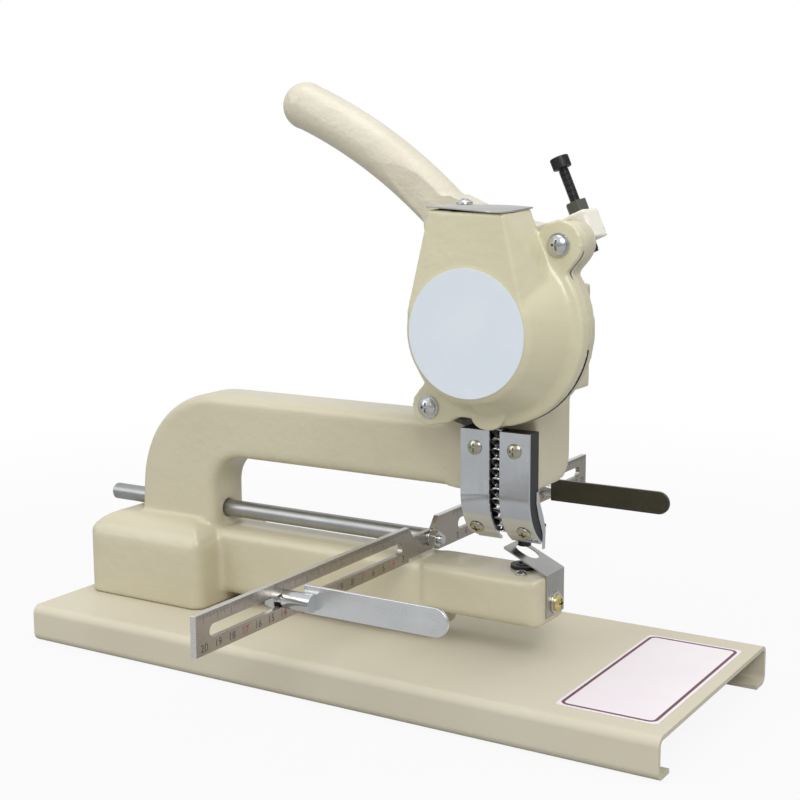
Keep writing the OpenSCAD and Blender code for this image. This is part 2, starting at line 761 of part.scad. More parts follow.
module brush_bristles() {
    color([0.75, 0.68, 0.5]) facing_front([hop[0], seat_y - 11, hop[2]]) for (a = [30, 150, 270], s = [-1, 1])
        rotate(a) translate([brush_r - 6, s * 1.75, 0]) rotate([0, 90, 0]) cylinder(r = 1.5, h = 8, $fn = 16);
}

// ---------- chute ----------

// A strip that follows the chute, between two depths behind the plates' face.
module chute_strip(d0, d1, top) {
    translate([chute_front + d0, chute_bend_z]) square([d1 - d0, top - chute_bend_z]);
    translate([chute_bend_y, chute_bend_z]) intersection() {
        difference() {
            circle(chute_bend_r - d0);
            circle(chute_bend_r - d1);
        }
        polygon([[0, 0], [-90, 0], [-90, -90], [-90 * cos(chute_turn), -90 * sin(chute_turn)]]);
    }
}

module on_bend(turn) {
    translate([0, chute_bend_y - chute_bend_r * cos(turn), chute_bend_z - chute_bend_r * sin(turn)])
        rotate([90 + turn, 0, 0]) children();
}

module chute_screw_axes() {
    for (s = [-1, 1]) {
        facing_front([axis_x + s * chute_screw_x, chute_front, chute_screw_z]) children(0);
        translate([axis_x + s * chute_screw_low_x, 0, 0]) on_bend(chute_screw_turn) children(1);
    }
}

module chute_track() {
    color([0.10, 0.10, 0.11]) difference() {
        along_x(chute_x0, chute_x0 + chute_w) chute_strip(plate_t, plate_t + track_t, chute_top);
        along_x(axis_x - channel_w / 2, axis_x + channel_w / 2)
            chute_strip(plate_t - 1, plate_t + channel_d, chute_top + 1);
        chute_screw_axes() {
            translate([0, 0, -2 * track_t]) cylinder(r = chute_screw_r, h = 2 * track_t);
            translate([0, 0, -chute_screw_l]) cylinder(r = chute_screw_r, h = chute_screw_l);
        }
    }
}

module chute_plate(side) {
    plate_w = (chute_w - chute_slot) / 2;
    x0 = side > 0 ? axis_x + chute_slot / 2 : axis_x - chute_slot / 2 - plate_w;
    color([0.80, 0.81, 0.84]) difference() {
        along_x(x0, x0 + plate_w) chute_strip(0, plate_t, chute_top);
        chute_screw_axes() {
            translate([0, 0, -5]) cylinder(r = chute_screw_r + 0.2, h = 10);
            translate([0, 0, -5]) cylinder(r = chute_screw_r + 0.2, h = 10);
        }
        if (side < 0) on_bend(chute_turn) translate([x0 - 1, 1, 0]) rotate(45)
            cube([chute_corner * sqrt(2), chute_corner * sqrt(2), 4 * plate_t], center = true);
    }
}

module chute_screws() {
    color([0.75, 0.72, 0.6]) chute_screw_axes() {
        cross_screw(chute_screw_r, chute_screw_l + 6, 4, 2);
        cross_screw(chute_screw_r, chute_screw_l - 2, 4, 2);
    }
}

// The leaf beside the chute's end that holds the next eyelet.
module chute_catch_spring() {
    leaf_t = 0.6;
    x0 = chute_x0 + chute_w;
    y = chute_bend_y - chute_bend_r;
    // outline as shares of the chute's bend, from where the bend starts
    leaf = [[8, 2], [10.5, 2], [12.5, -5], [16, -12], [19, -20], [18.5, -30], [16, -30], [15.5, -21],
        [11, -12], [8, -4]] / 32;
    color("silver") along_x(x0, x0 + leaf_t)
        polygon([for (p = leaf) [y, chute_bend_z] + chute_bend_r * p]);
}

// One eyelet: a flange and a barrel with a hole, its barrel along +Z.
module eyelet() {
    rotate_extrude($fn = 32) polygon([[1.9, 0], [3.5, 0], [3.9, 0.3], [3.9, 0.6], [3.5, 0.9], [2.6, 1], [2.5, 2.8],
        [1.9, 2.8]]);
}

// The eyelets that wait in the chute, leaning on one another.
module eyelets() {
    pitch = 5;
    lean = 38;
    lift = 3.2;
    color([0.72, 0.72, 0.72]) {
        for (i = [0 : 6]) facing_front([axis_x, chute_front + lift, chute_bend_z + 2 + i * pitch])
            rotate([lean, 0, 0]) mirror([0, 0, 1]) eyelet();
        for (turn = [7 : 11 : 51]) on_bend(turn) translate([axis_x, 0, -lift])
            rotate([lean, 0, 0]) mirror([0, 0, 1]) eyelet();
    }
}

// ---------- ram ----------

module ram() {
    ear = roller_r - 0.5;
    nose_r = 7;
    nose_h = 16;
    color([0.62, 0.63, 0.65]) difference() {
        translate([axis_x, axis_y, 0]) {
            translate([0, 0, ram_z0]) cylinder(r = nose_r, h = nose_h + 1);
            translate([0, 0, ram_z0 + nose_h]) cylinder(r = ram_r, h = collar_z - ram_z0 - nose_h + 1);
            translate([0, 0, collar_z]) cylinder(r = collar_r, h = collar_t);
            along_y(-roller_w / 2 - 0.2 - fork_t, roller_w / 2 + 0.2 + fork_t) {
                translate([0, roller_z]) circle(ear);
                translate([-ear, collar_z + 1]) square([2 * ear, roller_z - collar_z - 1]);
            }
        }
        translate([axis_x - 8, axis_y - roller_w / 2 - 0.2, collar_z + collar_t])
            cube([16, roller_w + 0.4, 40]);
        bar_y(axis_x, roller_z, pin_r, axis_y - 12, axis_y + 12);
        // key groove, long enough for the stroke
        translate([axis_x - key_r - free, axis_y + ram_r - key_in, key_z - key_r - free - 0.5])
            cube([2 * (key_r + free), key_in + 1, ram_stroke + 2 * (key_r + free) + 1]);
        // seat of the upper die and its screw
        translate([axis_x, axis_y, ram_z0 - 1]) cylinder(r = die_stem_r, h = 13);
        bar_x(axis_y, ram_z0 + 6, grub_r, axis_x, axis_x + nose_r + 1);
    }
}

pin_r = 2;
grub_r = 2;

module ram_roller() {
    color("gray") difference() {
        bar_y(axis_x, roller_z, roller_r, axis_y - roller_w / 2, axis_y + roller_w / 2);
        bar_y(axis_x, roller_z, pin_r + run, axis_y - roller_w, axis_y + roller_w);
    }
}

module roller_pin() {
    half = roller_w / 2 + fork_t;
    color("silver") bar_y(axis_x, roller_z, pin_r, axis_y - half, axis_y + half);
}

module ram_key_screw() {
    tip_y = axis_y + ram_r - key_in + free;
    color("dimgray") difference() {
        bar_y(axis_x, key_z, key_r, tip_y, head_d / 2 + 0.8);
        facing_back([axis_x, head_d / 2 - 2, key_z]) cylinder(r = 1.4, h = 4, $fn = 6);
    }
}

// A wire that follows a helix, as a tube with six sides.
module coil(r, wire, height, turns) {
    steps = 14;
    sides = 6;
    n = steps * turns;
    pts = [for (i = [0 : n], j = [0 : sides - 1])
        let (a = 360 * i / steps, b = 360 * j / sides, q = r + wire / 2 * cos(b))
        [q * cos(a), q * sin(a), wire / 2 + (height - wire) * i / n + wire / 2 * sin(b)]];
    walls = [for (i = [0 : n - 1], j = [0 : sides - 1]) let (k = (j + 1) % sides)
        [i * sides + j, i * sides + k, (i + 1) * sides + k, (i + 1) * sides + j]];
    ends = [[for (j = [sides - 1 : -1 : 0]) j], [for (j = [0 : sides - 1]) n * sides + j]];
    polyhedron(points = pts, faces = concat(walls, ends), convexity = 8);
}

module ram_spring() {
    lift = 0.1;
    color("silver") translate([axis_x, axis_y, spring_seat + lift])
        coil(collar_r - 0.5 - spring_wire / 2 + 0.1, spring_wire, collar_z - spring_seat - 2 * lift, spring_turns);
}

module upper_die() {
    color([0.12, 0.12, 0.13]) translate([axis_x, axis_y, 0]) difference() {
        union() {
            translate([0, 0, punch_tip]) cylinder(r = punch_r, h = ram_z0 - punch_tip - 3);
            translate([0, 0, ram_z0 - 4]) cylinder(r = 6, h = 4);
            translate([0, 0, ram_z0 - 1]) cylinder(r = die_stem_r, h = 12.5);
        }
        bar_x(0, ram_z0 + 6, grub_r, die_stem_r - 0.6, die_stem_r + 1);
        translate([0, 0, punch_tip - 1]) cylinder(r = 1.9, h = 4);
    }
}

module upper_die_screw() {
    color([0.12, 0.12, 0.13]) difference() {
        bar_x(axis_y, ram_z0 + 6, grub_r, axis_x + die_stem_r - 0.6, axis_x + 6.8);
        facing_right([axis_x + 5.6, axis_y, ram_z0 + 6]) cylinder(r = 1.1, h = 4, $fn = 6);
    }
}

// ---------- lever ----------

// A point of the cam, for a roller that moves down in step with the lever's turn.
// The angle counts from straight down towards the right.
function cam_at(a) =
    let (k = cam_rise * 180 / PI, r = cam_r + free + roller_r + cam_rise * a, n = sqrt(r * r + k * k),
        out = r - (roller_r + free) * r / n, side = (roller_r + free) * k / n)
    [out * sin(a) + side * cos(a), -out * cos(a) + side * sin(a)];

stop_u = [-sin(stop_tilt), cos(stop_tilt)];       // along the stop screw, towards its head
stop_v = [cos(stop_tilt), sin(stop_tilt)];        // across the stop screw
function stop_point(d, w) = tip_at + d * stop_u + w * stop_v;

module cam_2d() {
    last = lever_turn + 6;
    polygon(concat([[0, 0]], [for (a = [0 : 3 : last]) cam_at(a)]));
    circle(cam_r);
}

// The lever's flat root: from the bar's end round the hub to the lug of the stop screw.
module root_2d() {
    c = [hop[0], hop[2]];
    across = (grip_r - 0.7) * [cos(grip_from), sin(grip_from)];
    along = [-sin(grip_from), cos(grip_from)];
    polygon([c + grip_root + across + 2 * along, c + [-13, 54], c + root_top, stop_point(lug_d1, -lug_half),
        stop_point(lug_d0, -lug_half), c + [19, 15], c + [2, 0], c + [-11, -4.5], c + [-16.5, 6.5],
        c + grip_root - across + 2 * along, c + grip_root + 13 * along]);
}

// The curved bar with its round end.
module grip() {
    last = grip_from + grip_arc;
    root = [hop[0], hop[2]] + grip_root;
    centre = root - grip_bend * [cos(grip_from), sin(grip_from)];
    translate([centre[0], lever_y, centre[1]]) rotate([90, 0, 0]) difference() {
        rotate([0, 0, grip_from - 1]) rotate_extrude(angle = grip_arc + 1) translate([grip_bend, 0]) circle(grip_r);
        for (z = [lever_t / 2 + 0.1, -lever_t / 2 - grip_r - 0.1]) rotate([0, 0, grip_from + grip_flat])
            translate([grip_bend - 2 * grip_r, -3 * grip_r, z]) cube([4 * grip_r, 3 * grip_r, grip_r]);
    }
    translate([centre[0] + grip_bend * cos(last), lever_y, centre[1] + grip_bend * sin(last)]) sphere(grip_r + 0.3);
}

module handle_lever() {
    y0 = lever_y - lever_t / 2;
    color([0.87, 0.83, 0.76]) difference() {
        union() {
            grip();
            along_y(y0, y0 + lever_t) {
                root_2d();
                translate([hop[0], hop[2]]) cam_2d();
            }
            along_y(lever_y - lug_t / 2, lever_y + lug_t / 2)
                polygon([stop_point(lug_d0, -lug_half), stop_point(lug_d0, lug_half),
                    stop_point(lug_d1, lug_half), stop_point(lug_d1, -lug_half)]);
        }
        bar_y(hop[0], hop[2], shaft_r, y0 - 1, y0 + lever_t + 1);
        bar_stop(0, stop_l, stop_r);
        lever_pin_hole(0);
    }
}

// A round bar along the stop screw's axis.
module bar_stop(d0, d1, r) {
    p = stop_point(d0, 0);
    translate([p[0], lever_y, p[1]]) rotate([0, -stop_tilt, 0]) cylinder(r = r, h = d1 - d0);
}

taper_r = 2;

module lever_pin_hole(gap) {
    translate([hop[0], lever_y, hop[2]]) rotate([0, 45, 0]) translate([0, 0, -14]) cylinder(r = taper_r + gap, h = 28);
}

module lever_pin() { color("silver") lever_pin_hole(0); }

shaft_y0 = seat_y - 17;
shaft_end = head_back + 4.4;

module lever_shaft() {
    color([0.66, 0.67, 0.69]) difference() {
        union() {
            bar_y(hop[0], hop[2], shaft_r, shaft_y0, shaft_end - pocket - 1.2);
            bar_y(hop[0], hop[2], shaft_r - 1, shaft_end - pocket - 1.3, shaft_end - 0.5);
            bar_y(hop[0], hop[2], shaft_r, shaft_end - pocket, shaft_end);
        }
        lever_pin_hole(0);
    }
}

module shaft_washer() {
    color("silver") facing_back([hop[0], head_back + free / 3, hop[2]]) washer(shaft_r + run, 10, 1);
}

module shaft_circlip() {
    t = 1;
    color("dimgray") facing_back([hop[0], shaft_end - pocket - 1.1, hop[2]]) difference() {
        cylinder(r = shaft_r + 2.2, h = t);
        translate([0, 0, -1]) cylinder(r = shaft_r - 1, h = t + 2);
        translate([-2.2, 0, -1]) cube([4.4, 2 * shaft_r, t + 2]);
    }
}

module stop_screw() {
    head_r = 4.8;
    p = stop_point(stop_l, 0);
    color([0.12, 0.12, 0.13]) {
        bar_stop(0, stop_l + 1, stop_r);
        translate([p[0], lever_y, p[1]]) rotate([0, -stop_tilt, 0]) difference() {
            cylinder(r = head_r, h = 6);
            translate([0, 0, 2.5]) cylinder(r = 2.9, h = 5, $fn = 6);
        }
    }
}

module stop_nut() {
    p = stop_point(lug_d1, 0);
    color([0.30, 0.30, 0.28]) translate([p[0], lever_y, p[1]]) rotate([0, -stop_tilt, 0])
        hex_nut(stop_r, 5.8, 6);
}

// ---------- anvil tools ----------

die_flange_t = 2;
die_screw_at = [axis_x + 4.4, axis_y - 12.5];
die_screw_r = 1.9;
die_screw_l = 8;

module lower_die() {
    color([0.12, 0.12, 0.13]) translate([axis_x, axis_y, 0]) difference() {
        union() {
            translate([0, 0, anvil_top - die_stem_l]) cylinder(r = die_stem_r, h = die_stem_l + 1);
            translate([0, 0, anvil_top]) cylinder(r = die_r, h = die_flange_t);
            translate([0, 0, anvil_top]) cylinder(r = punch_r + 1, h = die_top - anvil_top);
        }
        translate([0, 0, die_top - 1.2]) difference() {
            cylinder(r = 3.2, h = 2);
            translate([0, 0, -1]) cylinder(r = 1.5, h = 4);
        }
    }
}

module lower_die_screw() {
    color("silver") translate([die_screw_at[0], die_screw_at[1], anvil_top])
        cross_screw(die_screw_r, die_screw_l, 3.4, 2.2);
}

lifter_t = 0.8;
lifter_w = 21;
lifter_y = 2.5;                           // middle plane of the strip
lifter_z0 = 45;                           // lower end of the strip
lifter_slope = 25;
lifter_reach = 25.7;
lifter_hole_r = 5.3;
lifter_hole_l = 2;                        // length that the hole is drawn out towards the die end

// The sprung strip: up the end of the anvil, then back over the lower die.
module lifter_plate() {
    x0 = head_x1;
    x1 = x0 - lifter_reach;
    top = anvil_top + 0.6;
    rise = lifter_reach * tan(lifter_slope);
    half = lifter_w / 2;
    color([0.74, 0.75, 0.76]) difference() {
        intersection() {
            along_y(lifter_y - half, lifter_y + half)
                polygon([[x0, lifter_z0], [x0 + lifter_t, lifter_z0], [x0 + lifter_t, top + 0.3],
                    [x0 + 0.3, top + lifter_t], [x1, top + rise + lifter_t], [x1, top + rise], [x0, top]]);
            translate([0, lifter_y, lifter_z0 - 5]) linear_extrude(50)
                polygon([[x1, 1 - half], [x1 + 1, -half], [x0 + 2, -half], [x0 + 2, half],
                    [x1 + 5, half], [x1, half - 4]]);
        }
        translate([0, 0, anvil_top + 1]) linear_extrude(30)
            slot_2d([axis_x + 0.8, axis_y], [axis_x + 0.8 + lifter_hole_l, axis_y], 2 * lifter_hole_r);
        bar_x(lifter_y, lifter_screw_z, lifter_screw_r + 0.3, x0 - 1, x0 + 3);
    }
}

module lifter_washer() {
    color("silver") facing_right([head_x1 + lifter_t, lifter_y, lifter_screw_z]) washer(lifter_screw_r + 0.2, 6, 1);
}

module lifter_screw() {
    color([0.78, 0.74, 0.52]) facing_right([head_x1 + lifter_t + 1, lifter_y, lifter_screw_z])
        cross_screw(lifter_screw_r, lifter_screw_l + 1, 4.6, 3);
}

base_plate();
base_label();
frame_casting();
casting_bolts();
casting_washers();
guide_rod();
rod_clamp_screw();
ruler_bar();
ruler_stud();
ruler_nut();
ruler_washer();
stop_bar(-1);  // front_stop
stop_stud(-1);  // front_stop_stud
stop_nut_on_stud(-1);  // front_stop_nut
stop_washer(-1);  // front_stop_washer
stop_bar(1);  // rear_stop
stop_stud(1);  // rear_stop_stud
stop_nut_on_stud(1);  // rear_stop_nut
stop_washer(1);  // rear_stop_washer
hopper_bowl();
hopper_disc();
hopper_screws();
hopper_washers();
hopper_lid();
lid_screw();
feed_brush();
brush_bristles();
chute_track();
chute_plate(-1);  // chute_plate_left
chute_plate(1);  // chute_plate_right
chute_screws();
chute_catch_spring();
eyelets();
ram();
ram_roller();
roller_pin();
ram_key_screw();
ram_spring();
upper_die();
upper_die_screw();
handle_lever();
lever_shaft();
lever_pin();
shaft_washer();
shaft_circlip();
stop_screw();
stop_nut();
lower_die();
lower_die_screw();
lifter_plate();
lifter_screw();
lifter_washer();
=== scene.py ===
import json
import math

import bmesh
import bpy
from mathutils import Matrix, Vector
from mathutils.bvhtree import BVHTree

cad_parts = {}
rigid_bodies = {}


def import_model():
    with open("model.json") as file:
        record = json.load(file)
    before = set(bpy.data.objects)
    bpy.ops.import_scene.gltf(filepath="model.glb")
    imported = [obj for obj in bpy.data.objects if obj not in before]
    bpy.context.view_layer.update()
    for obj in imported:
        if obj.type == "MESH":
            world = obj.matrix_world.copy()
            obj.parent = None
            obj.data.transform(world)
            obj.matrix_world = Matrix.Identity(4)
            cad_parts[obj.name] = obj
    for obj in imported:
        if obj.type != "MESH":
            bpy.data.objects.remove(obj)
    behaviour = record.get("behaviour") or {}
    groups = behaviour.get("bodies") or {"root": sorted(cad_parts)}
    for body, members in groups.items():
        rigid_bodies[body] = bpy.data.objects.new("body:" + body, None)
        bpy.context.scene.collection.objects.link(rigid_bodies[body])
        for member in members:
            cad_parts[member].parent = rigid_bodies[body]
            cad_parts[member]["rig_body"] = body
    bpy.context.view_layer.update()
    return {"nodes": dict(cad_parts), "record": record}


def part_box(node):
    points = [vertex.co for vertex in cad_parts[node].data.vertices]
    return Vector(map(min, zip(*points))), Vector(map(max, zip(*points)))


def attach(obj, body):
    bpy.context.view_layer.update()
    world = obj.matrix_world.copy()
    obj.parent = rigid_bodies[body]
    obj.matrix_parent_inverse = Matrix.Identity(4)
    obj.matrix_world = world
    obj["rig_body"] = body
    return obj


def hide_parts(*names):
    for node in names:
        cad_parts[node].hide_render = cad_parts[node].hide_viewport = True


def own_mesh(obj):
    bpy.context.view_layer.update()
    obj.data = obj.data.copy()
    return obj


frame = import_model()
nodes = frame["nodes"]
mm = 0.001
print("stage: frame loaded,", len(nodes), "nodes")


def within(value, low=0, high=1):
    return min(max(value, low), high)


def eased(part):
    # a share from 0 to 1 that starts and ends level
    return part * part * (3 - 2 * part)


class Value:
    # one output socket of a material, with the arithmetic that the materials use
    def __init__(self, paint, socket):
        self.paint = paint
        self.socket = socket

    def math(self, operation, first, second):
        return self.paint.add("ShaderNodeMath", {"operation": operation}, {0: first, 1: second})

    def __add__(self, other):
        return self.math("ADD", self, other)

    def __radd__(self, other):
        return self.math("ADD", other, self)

    def __sub__(self, other):
        return self.math("SUBTRACT", self, other)

    def __rsub__(self, other):
        return self.math("SUBTRACT", other, self)

    def __mul__(self, other):
        return self.math("MULTIPLY", self, other)

    def __rmul__(self, other):
        return self.math("MULTIPLY", other, self)


class Paint:
    # a material, or the world, under construction
    def __init__(self, owner):
        owner.use_nodes = True
        self.owner = owner
        self.tree = owner.node_tree
        self.shader = next(node for node in self.tree.nodes if node.outputs)
        self.output = next(node for node in self.tree.nodes if not node.outputs)
        self.spot = 0

    def add(self, kind, settings=None, inputs=None, output=0):
        node = self.tree.nodes.new(kind)
        self.spot += 1
        node.location = (-220 * (self.spot % 7) - 300, -240 * (self.spot // 7))
        for key, value in (settings or {}).items():
            if key == "stops":
                ramp = node.color_ramp
                while len(ramp.elements) < len(value):
                    ramp.elements.new(0.5)
                for element, (at, colour) in zip(ramp.elements, value):
                    element.position = at
                    element.color = (*colour, 1)
            else:
                setattr(node, key, value)
        for key, value in (inputs or {}).items():
            self.join(node.inputs[key], value)
        return Value(self, node.outputs[output])

    def join(self, socket, value):
        if isinstance(value, Value):
            self.tree.links.new(value.socket, socket)
        elif value is not None:
            if hasattr(value, "__len__") and len(value) == 3 and len(socket.default_value) == 4:
                value = (*value, 1)
            socket.default_value = value

    def place(self, stretch=(1, 1, 1)):
        at = self.add("ShaderNodeTexCoord", output="Object")
        return self.add("ShaderNodeMapping", {}, {"Vector": at, "Scale": stretch})

    def along(self, at, axis):
        return self.add("ShaderNodeSeparateXYZ", {}, {0: at}, axis)

    def noise(self, place, scale, detail=2.0, rough=0.5):
        return self.add("ShaderNodeTexNoise", {"noise_dimensions": "3D"},
                        {"Vector": place, "Scale": scale, "Detail": detail, "Roughness": rough}, "Fac")

    def ramp(self, value, low, high):
        return self.add("ShaderNodeMapRange", {"clamp": True},
                        {"Value": value, "From Min": low, "From Max": high}, "Result")

    def mix(self, factor, first, second):
        return self.add("ShaderNodeMix", {"data_type": "RGBA"}, {0: factor, 6: first, 7: second}, 2)

    def bump(self, height, distance, under=None):
        return self.add("ShaderNodeBump", {}, {"Height": height, "Distance": distance, "Strength": 1.0,
                                               "Normal": under}, "Normal")

    def finish(self, **sockets):
        names = {"colour": "Base Color", "roughness": "Roughness", "metal": "Metallic", "coat": "Coat Weight",
                 "coatRough": "Coat Roughness", "normal": "Normal", "gloss": "Specular IOR Level"}
        for key, value in sockets.items():
            self.join(self.shader.inputs[names[key]], value)
        return self.owner

    def show(self, shader):
        # sends another shader than the plain one to the output
        self.tree.links.new(shader.socket, self.output.inputs["Surface"])


class Growth:
    # a geometry node tree for details that repeat or follow a path
    def __init__(self, name):
        self.name = name
        self.tree = bpy.data.node_groups.new(name, "GeometryNodeTree")
        self.tree.interface.new_socket(name="Geometry", in_out="OUTPUT", socket_type="NodeSocketGeometry")
        self.group = self.tree.nodes.new("NodeGroupInput")
        self.values = {}

    def named(self, name, value, kind="NodeSocketFloat"):
        made = self.tree.interface.new_socket(name=name, in_out="INPUT", socket_type=kind)
        self.values[made.identifier] = value
        return next(socket for socket in self.group.outputs if socket.identifier == made.identifier)

    def add(self, kind, settings=None, inputs=None, output=0):
        node = self.tree.nodes.new(kind)
        for key, value in (settings or {}).items():
            setattr(node, key, value)
        for key, value in (inputs or {}).items():
            for part in value if isinstance(value, list) else [value]:
                if isinstance(part, bpy.types.NodeSocket):
                    self.tree.links.new(part, node.inputs[key])
                else:
                    node.inputs[key].default_value = part
        return node.outputs[output]

    def math(self, operation, first, second):
        return self.add("ShaderNodeMath", {"operation": operation}, {0: first, 1: second})

    def moved(self, geometry, by=(0, 0, 0), turn=(0, 0, 0)):
        return self.add("GeometryNodeTransform", {}, {"Geometry": geometry, "Translation": by, "Rotation": turn})

    def swept(self, path, profile, caps=True):
        return self.add("GeometryNodeCurveToMesh", {}, {"Curve": path, "Profile Curve": profile,
                                                        "Fill Caps": caps})

    def ring(self, radius, count=32):
        return self.add("GeometryNodeCurvePrimitiveCircle", {}, {"Resolution": count, "Radius": radius})

    def helix(self, height, radius, turns, steps):
        return self.add("GeometryNodeCurveSpiral", {}, {"Resolution": steps, "Rotations": turns, "Height": height,
                                                        "Start Radius": radius, "End Radius": radius})

    def box(self, width, height):
        return self.add("GeometryNodeCurvePrimitiveQuadrilateral", {}, {"Width": width, "Height": height})

    def copies(self, points, instance, turn=(0, 0, 0), scale=(1, 1, 1)):
        return self.add("GeometryNodeInstanceOnPoints", {}, {"Points": points, "Instance": instance,
                                                             "Rotation": turn, "Scale": scale})

    def joined(self, *parts):
        return self.add("GeometryNodeJoinGeometry", {}, {"Geometry": list(reversed(parts))})

    def grown(self, geometry, material, turn=None):
        real = self.add("GeometryNodeRealizeInstances", {}, {"Geometry": geometry})
        painted = self.add("GeometryNodeSetMaterial", {}, {"Geometry": real, "Material": material})
        out = self.tree.nodes.new("NodeGroupOutput")
        self.tree.links.new(painted, out.inputs["Geometry"])
        holder = added(self.name, bpy.data.meshes.new(self.name))
        grow = holder.modifiers.new(self.name, "NODES")
        grow.node_group = self.tree
        for identifier, value in self.values.items():
            grow[identifier] = value
        settled(holder)
        if turn:
            holder.data.transform(turn)
        return shaded(holder)


# where the painted shade in the hollow beside the hopper's nose lies
hollowShadeLook = {"x": (0.0570, 0.0775), "y": (-0.0335, -0.0140), "z": (0.1486, 0.1565), "fall": 0.20, "edge": 0.0006,
            "ragged": 0.0008}


def sootIn(paint, at, lumps):
    # painted shade: the hollow behind the arch beside the hopper's nose is painted dark, standing in for the
    # shadow in it
    across, deep, high = (paint.along(at, axis) for axis in "XYZ")
    edge = hollowShadeLook["edge"]
    high = high + (across - hollowShadeLook["x"][0]) * hollowShadeLook["fall"] + lumps * hollowShadeLook["ragged"]
    inside = 1.0
    for value, key in ((across, "x"), (deep, "y"), (high, "z")):
        low, top = hollowShadeLook[key]
        inside = paint.ramp(value, low, low + edge) * inside
        inside = (1.0 - paint.ramp(value, top - edge, top)) * inside
    return inside


# where the painted shade in the gap at the upper ear lies
gapShadeLook = {"right": 0.126, "edge": 0.001, "y": -0.0311, "z": 0.2355, "half": 0.0078, "wide": 1.7, "soft": 0.35,
           "share": 0.9}


def gapIn(paint, at):
    # painted shade: the dark crescent of shadow in the gap at the side of the upper ear, widest at half its height
    across, deep, high = (paint.along(at, axis) for axis in "XYZ")
    off = (deep - gapShadeLook["y"]) * (1 / mm)
    rise = (high - gapShadeLook["z"]) * (1 / gapShadeLook["half"])
    depth = (1.0 - rise * rise) * gapShadeLook["wide"] - off * off
    right = paint.ramp(across, gapShadeLook["right"], gapShadeLook["right"] + gapShadeLook["edge"])
    return paint.ramp(depth, 0, gapShadeLook["soft"]) * right * gapShadeLook["share"]


# what the four enamels share, and then each of them
enamelLook = {"broad": 11, "patches": (0.35, 0.65), "specks": 140, "speckRange": (0.70, 0.80), "speckShare": 0.18,
              "peelDepth": 0.00005, "uneven": 0.10, "coatRough": 0.08, "gloss": 0.5}
# the darkest colour of the cream and hopper enamels is painted shade for a hollow and a gap
creamEnamel = {"light": (0.572, 0.522, 0.378), "dark": (0.535, 0.485, 0.345), "grime": (0.40, 0.35, 0.24),
               "roughness": 0.30, "peel": 700, "waves": 90, "lumps": 260, "depth": (0.0006, 0.00016),
               "paintedShade": (0.025, 0.02, 0.012), "coat": 0.35}
bowlEnamel = {"light": (0.645, 0.600, 0.418), "dark": (0.605, 0.560, 0.385), "grime": (0.42, 0.37, 0.25),
              "roughness": 0.28, "peel": 700, "waves": 90, "lumps": 260, "depth": (0.0006, 0.00016),
              "paintedShade": (0.025, 0.02, 0.012), "coat": 0.4}
handleEnamel = {"light": (0.660, 0.612, 0.495), "dark": (0.600, 0.547, 0.425), "grime": (0.46, 0.41, 0.31),
                "roughness": 0.33, "peel": 800, "waves": 120, "lumps": 330, "depth": (0.0009, 0.0004),
                "lugLight": (0.84, 0.80, 0.69), "lugLightFrom": (0.100, 0.122), "coat": 0.3,
                "under": {"centre": (-0.1644, 0, 0.0378), "radius": (0.287, 0.303),
                          "shade": (0.47, 0.42, 0.315), "share": 0.55}}
sheetEnamel = {"light": (0.590, 0.546, 0.430), "dark": (0.556, 0.508, 0.392), "grime": (0.45, 0.40, 0.30),
               "roughness": 0.46, "peel": 900, "waves": 25, "lumps": 420, "depth": (0.0002, 0.00003),
               "coat": 0.0, "gloss": 0.2}


def castEnamel(name, ownLook):
    # enamel over a casting: broad waves, fine lumps, orange peel and a little grime, and where its look asks for
    # them painted shade and painted light
    look = {**enamelLook, **ownLook}
    paint = Paint(bpy.data.materials.new(name))
    at = paint.place()
    broad = paint.noise(at, look["broad"], 3)
    waves = paint.noise(at, look["waves"])
    lumps = paint.noise(at, look["lumps"], 3, 0.6)
    peel = paint.noise(at, look["peel"])
    specks = paint.ramp(paint.noise(at, look["specks"], 5, 0.7), *look["speckRange"])
    tone = paint.mix(paint.ramp(broad, *look["patches"]), look["dark"], look["light"])
    tone = paint.mix(specks * look["speckShare"], tone, look["grime"])
    if "under" in look:
        # painted shade: the hollow side of the curved bar, its underside, is painted darker
        under = look["under"]
        away = paint.add("ShaderNodeVectorMath", {"operation": "DISTANCE"},
                         {0: paint.place((1, 0, 1)), 1: under["centre"]}, "Value")
        tone = paint.mix((1.0 - paint.ramp(away, *under["radius"])) * under["share"], tone, under["shade"])
    if "lugLight" in look:
        # painted light: the lug that holds the stop screw is painted paler than the bar, for the light that falls
        # on it
        tone = paint.mix(paint.ramp(paint.along(at, "X"), *look["lugLightFrom"]), tone, look["lugLight"])
    # painted shade: the hollow beside the nose and the gap at the upper ear are painted in one dark colour
    if "paintedShade" in look:
        tone = paint.mix(sootIn(paint, at, lumps), tone, look["paintedShade"])
        tone = paint.mix(gapIn(paint, at), tone, look["paintedShade"])
    normal = None
    for height, depth in zip((waves, lumps, peel), (*look["depth"], look["peelDepth"])):
        normal = paint.bump(height, depth, normal)
    return paint.finish(colour=tone, roughness=look["roughness"] + look["uneven"] * peel, normal=normal,
                        coat=look["coat"], coatRough=look["coatRough"], gloss=look["gloss"])


castPaint = castEnamel("cream_cast_enamel", creamEnamel)
bowlPaint = castEnamel("cream_hopper_enamel", bowlEnamel)
handlePaint = castEnamel("pale_handle_enamel", handleEnamel)
sheetPaint = castEnamel("base_sheet_enamel", sheetEnamel)


steelLook = {"clouds": 55, "cloudRange": (0.30, 0.75), "cloudShare": 0.35, "brushShare": 0.15, "shade": 0.62,
             "pits": 420, "pitRange": (0.62, 0.80), "pitColour": (0.05, 0.045, 0.04),
             "edgeHighlight": (0.82, 0.81, 0.79), "edgeHighlightShare": 0.8, "uneven": (0.12, 0.10)}


